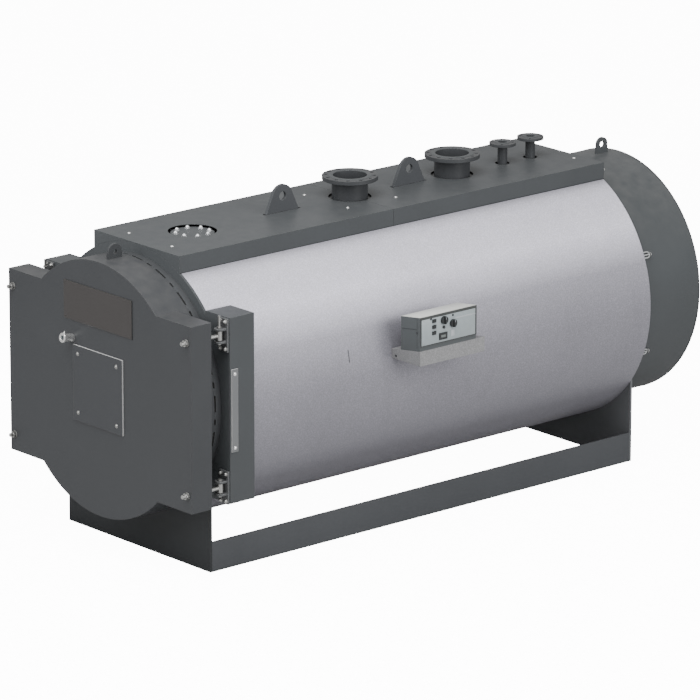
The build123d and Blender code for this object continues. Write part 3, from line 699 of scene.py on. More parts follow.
def at(x: float, y: float, z: float) -> Vector:
    """Point so many millimetres to the right, to the back and up, in metres."""
    return Vector((x, y, z)) * MM


def towards(place: Vector, direction: Vector, spin: float = 0.0) -> Matrix:
    """Stand a shape built along +Z at a place, pointing in a direction, spun by degrees."""
    turn = direction.to_track_quat("Z", "Y").to_matrix().to_4x4()
    return Matrix.Translation(place) @ turn @ Matrix.Rotation(math.radians(spin), 4, "Z")


def circle(matrix: Matrix, radius: float, height: float, count: int) -> list[Vector]:
    """Points of a ring about the Z axis of a matrix; one point where the radius is nil.

    Args:
        matrix: where it lies.
        radius: its radius, in millimetres.
        height: its height on the axis, in millimetres.
        count: how many points.

    Returns:
        The points, in metres.
    """
    if radius <= 0.0:
        return [matrix @ at(0, 0, height)]
    angles = (2.0 * math.pi * i / count for i in range(count))
    return [matrix @ at(radius * math.cos(a), radius * math.sin(a), height) for a in angles]


class MeshMaker:
    """Collects bolts, plates and turned shapes in one mesh."""

    def __init__(self) -> None:
        """Start an empty mesh."""
        self.bm = bmesh.new()

    def _loft(self, rings: list[list[Vector]], closed: bool = False, caps: bool = False) -> None:
        """Join rings of points with faces.

        Args:
            rings: the points of each ring, in metres; one point alone is a tip.
            closed: join the last ring to the first.
            caps: close both ends with a face.
        """
        made = [[self.bm.verts.new(point) for point in ring] for ring in rings]
        for low, high in zip(made, made[1:] + made[:1] if closed else made[1:]):
            count = max(len(low), len(high))
            for i in range(count):
                j = (i + 1) % count
                foot = [low[i], low[j]] if len(low) > 1 else low
                head = [high[j], high[i]] if len(high) > 1 else high
                if len(foot + head) > 2:
                    self.bm.faces.new(foot + head)
        for ring in (made[0], made[-1]) if caps else ():
            self.bm.faces.new(ring)

    def turned(self, matrix: Matrix, profile: Profile | list[Pair], segments: int = 32) -> None:
        """Add a shape turned about a matrix's Z axis, from radii and heights in millimetres."""
        self._loft([circle(matrix, radius, height, segments) for radius, height in profile])

    def hexagon(self, matrix: Matrix, flats: float, height: float) -> None:
        """Add a hexagon nut or bolt head with a chamfered top.

        Args:
            matrix: where it stands.
            flats: width across flats, in millimetres.
            height: height, in millimetres.
        """
        corner = flats / math.sqrt(3.0)
        side = [(corner, 0.0), (corner, height * 0.82)]
        self.turned(matrix, side + [(corner * 0.9, height), (0.0, height)], 6)

    def block(self, place: Vector | Matrix, size: Triple, chamfer: float) -> None:
        """Add a block with chamfered edges.

        Args:
            place: its centre in metres, or the matrix it stands at.
            size: its size, in millimetres.
            chamfer: chamfer width, in millimetres.
        """
        stand = place if isinstance(place, Matrix) else Matrix.Translation(place)
        half = Matrix.Diagonal((*(Vector(size) * 0.5 * MM), 1.0))
        made = bmesh.ops.create_cube(self.bm, size=2.0, matrix=stand @ half)
        edges = list({e for v in made["verts"] for e in v.link_edges})
        width = min(chamfer, 0.24 * min(size)) * MM
        bmesh.ops.bevel(self.bm, geom=edges, offset=width, segments=2, affect="EDGES", profile=0.5)

    def torus(self, matrix: Matrix, radii: Pair, segments: int, sides: int = 6) -> None:
        """Add a ring with a round section.

        Args:
            matrix: where it lies, about its own Z.
            radii: ring radius and section radius, in millimetres.
            segments: facets round the ring.
            sides: facets round the section.
        """
        major, minor = radii
        rings = []
        for k in range(sides):
            turn = 2.0 * math.pi * k / sides
            radius, height = major + minor * math.cos(turn), minor * math.sin(turn)
            rings.append(circle(matrix, radius, height, segments))
        self._loft(rings, closed=True)

    def cable(self, points: list[Vector], radius: float, sides: int) -> None:
        """Add a round bar along points.

        Args:
            points: its centre line, in metres.
            radius: bar radius, in millimetres.
            sides: facets round the bar.
        """
        rings = []
        for i, point in enumerate(points):
            ahead = points[min(i + 1, len(points) - 1)] - points[max(i - 1, 0)]
            rings.append(circle(towards(point, ahead.normalized()), radius, 0.0, sides))
        self._loft(rings, caps=True)

    def arc_bar(self, centre: Vector, depths: Pair, radii: Pair, angles: Pair) -> None:
        """Add a bar of square section bent round a lengthwise axis.

        Args:
            centre: a point on the axis, in metres.
            depths: front and back, in millimetres.
            radii: inner and outer radius, in millimetres.
            angles: first and last angle, in degrees.
        """
        (front, back), (inner, outer), (first, last) = depths, radii, angles
        corners = ((inner, front), (outer, front), (outer, back), (inner, back))
        steps = 6
        rings = []
        for i in range(steps + 1):
            turn = math.radians(first + (last - first) * i / steps)
            c, s = math.cos(turn), math.sin(turn)
            rings.append([centre + at(radius * c, depth, radius * s) for radius, depth in corners])
        self._loft(rings, caps=True)

    def finish(self, name: str) -> bpy.types.Object:
        """Turn the collected mesh into an object, smooth between flat faces.

        Args:
            name: object name.

        Returns:
            The object.
        """
        bmesh.ops.recalc_face_normals(self.bm, faces=self.bm.faces[:])
        mesh = bpy.data.meshes.new(name)
        self.bm.to_mesh(mesh)
        self.bm.free()
        made = bpy.data.objects.new(name, mesh)
        bpy.context.scene.collection.objects.link(made)
        for face in mesh.polygons:
            face.use_smooth = True
        mesh.set_sharp_from_angle(angle=math.radians(35.0))
        return made


def screw_head(maker: MeshMaker, place: Vector, direction: Vector, size: Pair) -> None:
    """Add a domed screw head with a washer.

    Args:
        maker: mesh to add to.
        place: point on the surface, in metres.
        direction: outward direction.
        size: radius and height of the head, in millimetres.
    """
    radius, rise = size
    stand = towards(place, direction)
    washer = radius * 1.35
    maker.turned(stand, [(washer, 0.0), (washer, 1.2), (radius, 1.4)], 24)
    dome = [(radius, 1.2), (radius * 0.94, rise * 0.55), (radius * 0.7, rise * 0.9)]
    socket = [(radius * 0.35, rise), (radius * 0.3, rise * 0.6), (0.0, rise * 0.6)]
    maker.turned(stand, dome + socket, 24)


def hex_bolt(maker: MeshMaker, place: Vector, direction: Vector, size: Pair, spin: float) -> None:
    """Add a hexagon head on a washer, with a stub of thread.

    Args:
        maker: mesh to add to.
        place: point on the surface, in metres.
        direction: outward direction.
        size: width across flats and height of the head, in millimetres.
        spin: turn about the axis, in degrees.
    """
    flats, height = size
    stand = towards(place, direction)
    washer = flats * 0.92
    maker.turned(stand, [(washer, 0.0), (washer, 2.0), (flats * 0.45, 2.4)], 28)
    maker.hexagon(towards(place + direction * 2.0 * MM, direction, spin), flats, height)
    thread = flats * 0.34
    end = 2.0 + height + flats * 0.10
    stub = [(thread, height), (thread, end), (thread * 0.8, end + 1.0), (0.0, end + 1.0)]
    maker.turned(stand, stub, 20)


def acorn_nut(maker: MeshMaker, place: Vector, direction: Vector, radius: float, spin: float) -> None:
    """Add a domed nut on a washer.

    Args:
        maker: mesh to add to.
        place: point on the surface, in metres.
        direction: outward direction.
        radius: dome radius, in millimetres.
        spin: turn about the axis, in degrees.
    """
    stand = towards(place, direction)
    washer = radius * 1.3
    maker.turned(stand, [(washer, 0.0), (washer, 1.6), (radius, 1.9)], 28)
    hexagon = towards(place + direction * 1.6 * MM, direction, spin)
    maker.hexagon(hexagon, radius * 1.8, radius * 0.55)
    dome = [(radius * 0.9, radius * 0.4)]
    for i in range(6):
        lift = math.radians(15.0 * i + 5.0)
        dome.append((radius * 0.9 * math.cos(lift), radius * (0.5 + 0.9 * math.sin(lift))))
    maker.turned(stand, dome + [(0.0, radius * 1.4)], 28)


class Assembly:
    """Base of every sub-assembly: paints its CAD nodes and adds its pieces."""

    finishes: dict[str, Finish] = {}

    def __init__(self, palette: Palette) -> None:
        """Keep the palette that builds the finishes."""
        self.palette = palette

    def build(self) -> None:
        """Give each CAD node its material, then add the pieces."""
        for node, finish in self.finishes.items():
            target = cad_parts[node]
            if not target.material_slots:
                target.data.materials.append(None)
            for slot in target.material_slots:
                slot.material = self.palette.get(finish)
            LOG.info("node %s: %s", node, finish.name)
        self.dress()

    def dress(self) -> None:
        """Add the pieces of this sub-assembly."""

    def add(
        self, maker: MeshMaker, name: str, finish: Finish, slot: Slot, body: Body = Body.FRAME
    ) -> None:
        """Finish a mesh as a piece that rides on a body.

        Args:
            maker: the collected mesh.
            name: piece name.
            finish: its finish.
            slot: record slot it belongs to; not used.
            body: body it rides on.
        """
        made = maker.finish(name)
        made.data.materials.append(self.palette.get(finish))
        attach(made, body.value)
        LOG.info("piece %s: %d faces, %s", name, len(made.data.polygons), finish.name)


@dataclass(frozen=True)
class BaseSizes:
    """Sizes of the base, in millimetres."""

    half_width: float = 666.0
    start: float = 7.5
    end: float = 3369.0
    weld_inset: float = 12.0
    weld_radius: float = 3.0
    weld_pitch: float = 21.0
    weld_points: int = 9


class Base(Assembly):
    """Steel base: two saddle plates and two beams."""

    sizes = BaseSizes()
    finishes = {
        "base_front_plate": Finish.FRONT_PLATE_PAINTED_SHADE,
        "base_rear_plate": Finish.REAR_PLATE_PAINTED_LIGHT,
        "base_beams": Finish.BEAM,
    }

    def dress(self) -> None:
        """Add the weld beads at the plates' corners."""
        maker = MeshMaker()
        s = self.sizes
        for side in (1.0, -1.0):
            for depth in (s.start + 2.0, s.end - 2.0):
                foot = at(side * (s.half_width - s.weld_inset), depth, s.weld_inset)
                steps = range(s.weld_points)
                points = [foot + at(side * 0.6 * (i % 2), 0, s.weld_pitch * i) for i in steps]
                maker.cable(points, s.weld_radius, 8)
        self.add(maker, "base_welds", Finish.WELD, Slot.DARK)


@dataclass(frozen=True)
class BodySizes:
    """Sizes of the pressure body and jacket, in millimetres and degrees."""

    axis: float = 1023.0
    jacket: float = 835.0
    start: float = 8.0
    end: float = 3368.0
    seam_angles: Pair = (-74.0, 254.0)
    seam: Pair = (2.4, 26.0)
    rivet: Pair = (4.0, 2.6)
    rivet_count: int = 17
    rivet_pitch: float = 203.0
    ring_depths: Pair = (-60.8, -49.5)
    ring_radii: Pair = (766.0, 777.0)
    stitch_count: int = 22
    stitch_phase: float = 68.5
    long_gap: float = 7.2
    short_gap: float = 2.6
    slot_y: float = 928.0
    slot_angles: Pair = (8.0, 13.2)
    plate_face: float = 10.0
    tube_circles: tuple[tuple[float, int], ...] = ((500.0, 12), (640.0, 16))
    tube_weld: Pair = (35.0, 3.0)
    mouth_weld: Pair = (391.0, 5.0)


class PressureBody(Assembly):
    """Shell, tube plates, furnace, jacket and the fixed ring."""

    sizes = BodySizes()
    finishes = {
        "pressure_shell": Finish.DARK,
        "shell_top_plate": Finish.DARK,
        "jacket_front_cover": Finish.DARK,
        "door_frame_ring": Finish.RING,
        "front_tube_plate": Finish.TUBE,
        "rear_tube_plate": Finish.TUBE,
        "furnace_tube": Finish.TUBE,
        "furnace_end": Finish.TUBE,
        "smoke_tubes": Finish.TUBE,
        "jacket": Finish.JACKET,
    }

    def dress(self) -> None:
        """Add seams, blocks, the slot and the tube welds."""
        self._seams()
        self._tabs()
        self._slot()
        self._tube_welds()

    def _seams(self) -> None:
        """Add the lengthwise overlap strips of the jacket with their rivets."""
        s = self.sizes
        strips, rivets = MeshMaker(), MeshMaker()
        thickness, width = s.seam
        for angle in s.seam_angles:
            radial = Vector((math.cos(math.radians(angle)), 0, math.sin(math.radians(angle))))
            foot = at(0, (s.start + s.end) / 2.0, s.axis) + radial * s.jacket * MM
            turn = Matrix.Rotation(math.radians(-angle), 4, "Y")
            stand = Matrix.Translation(foot - radial * 0.2 * MM) @ turn
            strips.block(stand, (thickness, s.end - s.start - 2.0, width), 0.8)
            for i in range(s.rivet_count):
                along = (i - s.rivet_count // 2) * s.rivet_pitch
                screw_head(rivets, foot + at(0, along, 0) + radial * MM, radial, s.rivet)
        self.add(strips, "jacket_seams", Finish.JACKET, Slot.PALE)
        self.add(rivets, "jacket_rivets", Finish.ZINC, Slot.STEEL)

    def _tabs(self) -> None:
        """Add the blocks on the fixed ring that leave long and short dashes of the gap open."""
        s = self.sizes
        maker = MeshMaker()
        period = 360.0 / s.stitch_count
        for i in range(s.stitch_count):
            start = s.stitch_phase + i * period
            middle = start + period / 2.0
            first = (start + s.long_gap / 2.0, middle - s.short_gap / 2.0)
            second = (middle + s.short_gap / 2.0, start + period - s.long_gap / 2.0)
            for angles in (first, second):
                maker.arc_bar(at(0, 0, s.axis), s.ring_depths, s.ring_radii, angles)
        self.add(maker, "ring_tabs", Finish.RING, Slot.DARK)

    def _slot(self) -> None:
        """Add the small dark slit in the jacket's side."""
        s = self.sizes
        maker = MeshMaker()
        depths = (s.slot_y - 2.5, s.slot_y + 2.5)
        radii = (s.jacket - 0.5, s.jacket + 0.5)
        maker.arc_bar(at(0, 0, s.axis), depths, radii, s.slot_angles)
        self.add(maker, "jacket_slot", Finish.BLACK, Slot.PALE)

    def _tube_welds(self) -> None:
        """Add the weld round each smoke tube and round the furnace mouth."""
        s = self.sizes
        maker = MeshMaker()
        for radius, count in s.tube_circles:
            for i in range(count):
                angle = 2.0 * math.pi * (i + 0.5) / count
                x, z = radius * math.sin(angle), s.axis + radius * math.cos(angle)
                maker.torus(towards(at(x, s.plate_face, z), FRONT), s.tube_weld, 28)
        maker.torus(towards(at(0, s.plate_face, s.axis), FRONT), s.mouth_weld, 80)
        self.add(maker, "tube_welds", Finish.TUBE, Slot.STEEL)


@dataclass(frozen=True)
class PostSizes:
    """Sizes of the hinge posts, in millimetres."""

    strip_x: float = 864.0
    strip_y: float = 21.5
    screw_heights: Pair = (1251.0, 805.0)
    screw: Pair = (8.0, 5.0)


class HingePosts(Assembly):
    """Folded posts at both sides with their cover strips."""

    sizes = PostSizes()
    finishes = {
        "hinge_post_left": Finish.DARK,
        "hinge_post_right": Finish.DARK,
        "post_strips": Finish.STRIP,
    }

    def dress(self) -> None:
        """Add the screws of the cover strips."""
        maker = MeshMaker()
        s = self.sizes
        for side in (RIGHT, LEFT):
            for z in s.screw_heights:
                screw_head(maker, at(side.x * s.strip_x, s.strip_y, z), side, s.screw)
        self.add(maker, "strip_screws", Finish.BRIGHT, Slot.STEEL)


@dataclass(frozen=True)
class Flange:
    """Places and sizes of the connections of one kind, in millimetres."""

    depths: Pair
    weld: float
    thickness: float
    seal: Pair
    face: Pair


@dataclass(frozen=True)
class TopSizes:
    """Sizes on top of the boiler, in millimetres."""

    cover_top: float = 1864.0
    half_width: float = 397.0
    screw: Pair = (8.0, 5.0)
    screw_x: float = 200.0
    screw_depths: tuple[float, ...] = (100.0, 1456.0, 1838.0, 3303.0)
    rear_screw: Pair = (8.0, 11.0)
    rear_screw_place: Triple = (390.0, 3372.0, 1816.0)
    port_y: float = 418.0
    port_top: float = 1853.0
    nut_radius: float = 13.0
    nut_circle: float = 104.0
    nut_count: int = 8
    nozzle_top: float = 1997.0
    weld_radius: float = 3.2
    seal_drop: float = 14.0
    seal_height: float = 4.0
    large: Flange = Flange((1645.0, 2471.0), 110.5, 24.0, (109.0, 175.0), (104.0, 133.0))
    small: Flange = Flange((2887.0, 3119.0), 31.0, 18.0, (29.5, 100.0), (28.0, 50.0))


class TopCover(Assembly):
    """Top cover, inspection port, lifting plates and connections."""

    sizes = TopSizes()
    finishes = {
        "top_cover_front": Finish.DARK,
        "top_cover_rear": Finish.DARK,
        "inspection_neck": Finish.DARK,
        "inspection_cover": Finish.DARK,
        # The nozzles take the darker door paint: painted shade on their shaded sides.
        "supply_nozzle": Finish.DOOR,
        "return_nozzle": Finish.DOOR,
        "safety_nozzles": Finish.DOOR,
        "lifting_lugs": Finish.BEAM,
    }

    def dress(self) -> None:
        """Add screws, nuts, welds, seals, flange faces and a painted shadow line along the covers' lower
        edges.
        """
        self._screws()
        self._port_nuts()
        self._connections()
        self._painted_shadow_line()
        self._flange_faces()

    def _screws(self) -> None:
        """Add the screws on top of the covers and at the rear corners."""
        s = self.sizes
        maker = MeshMaker()
        for y in s.screw_depths:
            for x in (-s.screw_x, s.screw_x):
                screw_head(maker, at(x, y, s.cover_top), UP, s.screw)
        x, y, z = s.rear_screw_place
        for side in (RIGHT, LEFT):
            screw_head(maker, at(side.x * x, y, z), BACK, s.rear_screw)
        self.add(maker, "cover_screws", Finish.BRIGHT, Slot.STEEL)

    def _port_nuts(self) -> None:
        """Add the domed nuts of the inspection port."""
        s = self.sizes
        maker = MeshMaker()
        for i in range(s.nut_count):
            angle = 2.0 * math.pi * (i + 0.5) / s.nut_count
            x, y = s.nut_circle * math.cos(angle), s.port_y + s.nut_circle * math.sin(angle)
            acorn_nut(maker, at(x, y, s.port_top), UP, s.nut_radius, 11.0 * i)
        self.add(maker, "port_nuts", Finish.CLAMP, Slot.STEEL)

    def _connections(self) -> None:
        """Add the weld under each flange and the seal in the cover."""
        s = self.sizes
        welds, seals = MeshMaker(), MeshMaker()
        for flange in (s.large, s.small):
            inner, outer = flange.seal
            seal = [(inner, 0.0), (outer, 0.0), (outer, s.seal_height), (inner, s.seal_height)]
            for y in flange.depths:
                under = at(0, y, s.nozzle_top - flange.thickness)
                welds.torus(towards(under, UP), (flange.weld, s.weld_radius), 56)
                seals.turned(towards(at(0, y, s.cover_top - s.seal_drop), UP), seal, 56)
        self.add(welds, "nozzle_welds", Finish.WELD, Slot.DARK)
        self.add(seals, "nozzle_seals", Finish.BLACK, Slot.BLACK)

    def _flange_faces(self) -> None:
        """Add the raised face of each flange."""
        maker = MeshMaker()
        for flange in (self.sizes.large, self.sizes.small):
            inner, outer = flange.face
            face = [(inner, -2.0), (inner, 1.6), (inner + 1.0, 2.0)]
            face += [(outer - 1.0, 2.0), (outer, 1.4), (outer, -0.5)]
            for y in flange.depths:
                maker.turned(towards(at(0, y, self.sizes.nozzle_top), UP), face, 72)
        self.add(maker, "flange_faces", Finish.DARK, Slot.DARK)

    def _painted_shadow_line(self) -> None:
        """Add a dark strip along the lower edges of the covers: a painted shadow line."""
        low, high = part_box("top_cover_front")[0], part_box("top_cover_rear")[1]
        middle, length = (low.y + high.y) / (2.0 * MM), (high.y - low.y) / MM
        maker = MeshMaker()
        for x in (-self.sizes.half_width, self.sizes.half_width):
            maker.block(at(x, middle, low.z / MM + 2.6), (1.2, length - 1.0, 5.0), 0.3)
        self.add(maker, "cover_edge_painted_shadow", Finish.FRONT_PLATE_PAINTED_SHADE, Slot.BLACK)


@dataclass(frozen=True)
class DoorSizes:
    """Sizes of the door, in millimetres and degrees."""

    front_y: float = -297.0
    axis: float = 1023.0
    plate_out: float = 10.0
    plate_bolt: float = 180.0
    plate_bolt_shift: float = -5.0
    plate_screw: Pair = (9.5, 8.0)
    name_out: float = 5.0
    name_z: float = 1515.0
    name_half_width: float = 317.0
    name_half_height: float = 116.0
    shadow_depth: float = 3.0
    pad_shift: Pair = (2.0, -4.0)
    tack: Pair = (4.0, 2.4)
    tack_inset: float = 14.0
    sight_x: float = -248.0
    sight_z: float = 1286.0
    sight_sink: float = 8.3
    sight_length: float = 84.0
    sight_tilt: float = 10.0
    pane: Profile = ((13.8, 0.0), (13.0, 1.4), (8.0, 2.2), (0.0, 2.4))
    pane_sink: float = 3.0
    clamp: Profile = ((15.0, -2.0), (15.0, 1.2), (16.5, 2.4), (26.5, 2.4), (28.3, 0.8), (28.3, -1.0))
    nipple: Profile = (
        (5.0, 0.0),
        (5.0, 6.0),
        (6.0, 6.5),
        (6.0, 11.0),
        (3.2, 12.0),
        (3.2, 17.0),
        (0.0, 17.6),
    )
    nipple_along: float = 66.0
    nipple_up: float = 23.0


class Door(Assembly):
    """Front door with its burner plate, nameplate and sight glass."""

    sizes = DoorSizes()
    finishes = {
        "door_skin": Finish.DOOR,
        "burner_plate": Finish.PLATE_CUT,
        "nameplate": Finish.PLATE,
        "sight_glass": Finish.BRIGHT,
        "door_lining": Finish.REFRACTORY,
        "door_rope": Finish.ROPE,
    }

    def dress(self) -> None:
        """Add the fixings of the plates and the parts of the sight tube."""
        self._burner_plate()
        self._nameplate()
        self._sight()

    def _burner_plate(self) -> None:
        """Add the four screws of the burner plate."""
        s = self.sizes
        maker = MeshMaker()
        for x in (-s.plate_bolt, s.plate_bolt):
            for z in (s.axis - s.plate_bolt, s.axis + s.plate_bolt):
                place = at(x + s.plate_bolt_shift, s.front_y - s.plate_out, z)
                screw_head(maker, place, FRONT, s.plate_screw)
        self.add(maker, "burner_plate_bolts", Finish.ZINC, Slot.STEEL, Body.DOOR)

    def _nameplate(self) -> None:
        """Add a dark sheet behind the nameplate as its painted shadow, and its tacks."""
        s = self.sizes
        shadow, tacks = MeshMaker(), MeshMaker()
        # Painted shadow: a black sheet that shows below and right of the nameplate.
        dx, dz = s.pad_shift
        place = at(dx, s.front_y - s.shadow_depth / 2.0, s.name_z + dz)
        shadow.block(place, (2.0 * s.name_half_width, s.shadow_depth, 2.0 * s.name_half_height), 0.4)
        self.add(shadow, "nameplate_painted_shadow", Finish.BLACK, Slot.BLACK, Body.DOOR)
        out_x, out_z = s.name_half_width - s.tack_inset, s.name_half_height - s.tack_inset
        for x in (-out_x, out_x):
            for z in (s.name_z - out_z, s.name_z + out_z):
                screw_head(tacks, at(x, s.front_y - s.name_out, z), FRONT, s.tack)
        self.add(tacks, "nameplate_tacks", Finish.PLATE, Slot.PLATE, Body.DOOR)

    def _sight(self) -> None:
        """Add the glass, the clamp ring and the flushing nipple of the sight tube."""
        s = self.sizes
        tilt = math.radians(s.sight_tilt)
        direction = Vector((0, -math.cos(tilt), math.sin(tilt)))
        foot = at(s.sight_x, s.front_y + s.sight_sink, s.sight_z)
        nose = foot + direction * s.sight_length * MM
        pane, clamp, nipple = MeshMaker(), MeshMaker(), MeshMaker()
        pane.turned(towards(nose - direction * s.pane_sink * MM, direction), s.pane, 32)
        self.add(pane, "sight_pane", Finish.GLASS, Slot.STEEL, Body.DOOR)
        clamp.turned(towards(nose, direction), s.clamp, 48)
        self.add(clamp, "sight_ring", Finish.BRIGHT, Slot.STEEL, Body.DOOR)
        stem = foot + direction * s.nipple_along * MM + at(0, 0, s.nipple_up)
        nipple.turned(towards(stem, UP), s.nipple, 20)
        self.add(nipple, "sight_nipple", Finish.BRIGHT, Slot.STEEL, Body.DOOR)


@dataclass(frozen=True)
class HingeSizes:
    """Sizes of the hinges, in millimetres."""

    x: float = 811.0
    heights: Pair = (1485.0, 565.0)
    plate_front: float = -24.0
    bolt_x: float = 24.0
    bolt_z: float = 82.0
    bolt_radius: float = 11.5
    door_front: float = -297.0
    washer: Profile = ((11.0, 0.0), (22.0, 0.0), (22.0, 3.0), (16.0, 3.2))


class Hinges(Assembly):
    """Forks, eye bolts and pivot pins at both sides."""

    sizes = HingeSizes()
    finishes = {
        "hinge_forks": Finish.HINGE,
        "eye_bolts": Finish.ZINC,
        "pivot_pins": Finish.ZINC,
    }

    def dress(self) -> None:
        """Add the fork bolts and the rod washers."""
        s = self.sizes
        bolts, washers = MeshMaker(), MeshMaker()
        for x in (-s.x, s.x):
            for z in s.heights:
                for dx in (-s.bolt_x, s.bolt_x):
                    for dz in (-s.bolt_z, s.bolt_z):
                        place = at(x + dx, s.plate_front, z + dz)
                        acorn_nut(bolts, place, FRONT, s.bolt_radius, 8.0)
                washers.turned(towards(at(x, s.door_front, z), FRONT), s.washer, 32)
        self.add(bolts, "fork_bolts", Finish.ZINC, Slot.STEEL)
        self.add(washers, "rod_washers", Finish.ZINC, Slot.STEEL, Body.DOOR)


@dataclass(frozen=True)
class SmokeBoxSizes:
    """Sizes of the smoke box, in millimetres and degrees."""

    axis: float = 1023.0
    radius: float = 765.0
    end: float = 3857.0
    back: float = 12.0
    clamp_nut_y: float = 3468.0
    clamp_out: float = 9.0
    clamp_angles: Pair = (23.0, -24.0)
    clamp_nut: Pair = (17.0, 10.0)
    hatch_z: float = 633.0
    hatch_nut: Pair = (19.0, 10.0)
    hatch_nut_x: float = 255.0
    hatch_nut_z: float = 125.0
    spigot_z: float = 1253.0
    spigot_weld: Pair = (201.0, 4.0)
    rim_weld: Pair = (763.5, 3.0)


class SmokeBox(Assembly):
    """Drum at the back with its flue spigot, hatch and clamps."""

    sizes = SmokeBoxSizes()
    finishes = {
        "smoke_box": Finish.SMOKE,
        "smoke_box_back": Finish.SMOKE,
        "flue_spigot": Finish.SMOKE,
        "cleaning_hatch": Finish.SMOKE,
        "smoke_box_clamps": Finish.CLAMP,
    }

    def dress(self) -> None:
        """Add the nuts of clamps and hatch and the welds of spigot and rim."""
        s = self.sizes
        hatch, clamps, welds = MeshMaker(), MeshMaker(), MeshMaker()
        for side in (1.0, -1.0):
            for angle in s.clamp_angles:
                turn = math.radians(angle)
                radial = Vector((side * math.cos(turn), 0, math.sin(turn)))
                foot = at(0, s.clamp_nut_y, s.axis) + radial * (s.radius + s.clamp_out) * MM
                hex_bolt(clamps, foot, BACK, s.clamp_nut, angle)
        for x in (-s.hatch_nut_x, 0.0, s.hatch_nut_x):
            for z in (s.hatch_z - s.hatch_nut_z, s.hatch_z + s.hatch_nut_z):
                hex_bolt(hatch, at(x, s.end + s.back, z), BACK, s.hatch_nut, 12.0)
        welds.torus(towards(at(0, s.end, s.spigot_z), BACK), s.spigot_weld, 80)
        welds.torus(towards(at(0, s.end - s.back, s.axis), BACK), s.rim_weld, 160)
        self.add(hatch, "smoke_box_nuts", Finish.ZINC, Slot.STEEL)
        self.add(clamps, "clamp_nuts", Finish.BRIGHT, Slot.STEEL)
        self.add(welds, "smoke_box_welds", Finish.WELD, Slot.DARK)


@dataclass(frozen=True)
class Tile:
    """One small block on the panel's face, in millimetres."""

    out: float
    place: Pair
    size: Triple
    chamfer: float


@dataclass(frozen=True)
class Stud:
    """One small turned part on the panel's face, in millimetres."""

    place: Pair
    profile: Profile
    facets: int


@dataclass(frozen=True)
class PanelSizes:
    """Sizes of the control panel, in millimetres and degrees.

    Places on its face are depth and height. Those on case and shelf say how far behind the face
    and below the case's top they lie.
    """

    face_x: float = 1086.0
    start: float = 1258.0
    length: float = 441.0
    shelf_length: float = 512.0
    bottom: float = 1225.0
    top: float = 1404.0
    borders: tuple[float, float, float, float] = (6.0, 12.0, 7.0, 15.0)
    film: float = 0.8
    lid_slope: float = -0.135
    lid_place: Pair = (91.0, 10.6)
    lid_size: Pair = (171.0, 1.6)
    joint_out: float = 0.4
    side_joint_place: Pair = (103.0, 86.0)
    side_joint: Triple = (136.0, 1.0, 2.4)
    front_joint_place: Pair = (33.0, 98.5)
    front_joint: Triple = (1.6, 1.0, 186.0)
    rockers: tuple[Tile, ...] = tuple(
        Tile(7.5, (1360.0, height), (3.0, 20.0, 9.0), 1.0) for height in (1374.5, 1337.5, 1300.5)
    )
    stripe: Tile = Tile(1.0, (1608.0, 1357.0), (0.8, 158.0, 7.0), 0.2)
    blank: Tile = Tile(1.4, (1508.0, 1271.0), (2.4, 28.0, 38.0), 0.8)
    display: Tile = Tile(5.3, (1432.0, 1266.0), (1.2, 36.0, 15.0), 0.3)
    cap: Stud = Stud((1436.0, 1319.0), ((9.0, 0.0), (9.0, 7.0), (7.5, 9.0), (0.0, 9.5)), 28)
    button: Stud = Stud((1336.0, 1386.0), ((8.0, 0.0), (8.0, 2.0), (6.0, 3.0), (0.0, 3.2)), 24)
    lamp: Stud = Stud((1509.0, 1380.0), ((7.0, 0.0), (7.0, 3.0), (4.5, 5.5), (0.0, 6.2)), 24)
    screw_inset: float = 20.0
    face_screw: Pair = (2.4, 1.2)
    case_screw: Pair = (5.0, 3.0)
    case_screw_place: Pair = (35.0, 95.0)
    shelf_screw: Pair = (6.0, 3.0)
    shelf_screw_place: Pair = (220.0, 277.0)
    upper_knob: Pair = (1437.0, 1363.0)
    lower_knob: Pair = (1508.0, 1332.0)
    mark: Triple = (0.8, 1.2, 5.0)
    mark_count: int = 11
    mark_first: float = -135.0
    mark_step: float = 27.0
    mark_radius: float = 30.0
    line: Triple = (0.8, 2.4, 14.0)
    line_out: float = 23.9
    line_up: float = 14.0


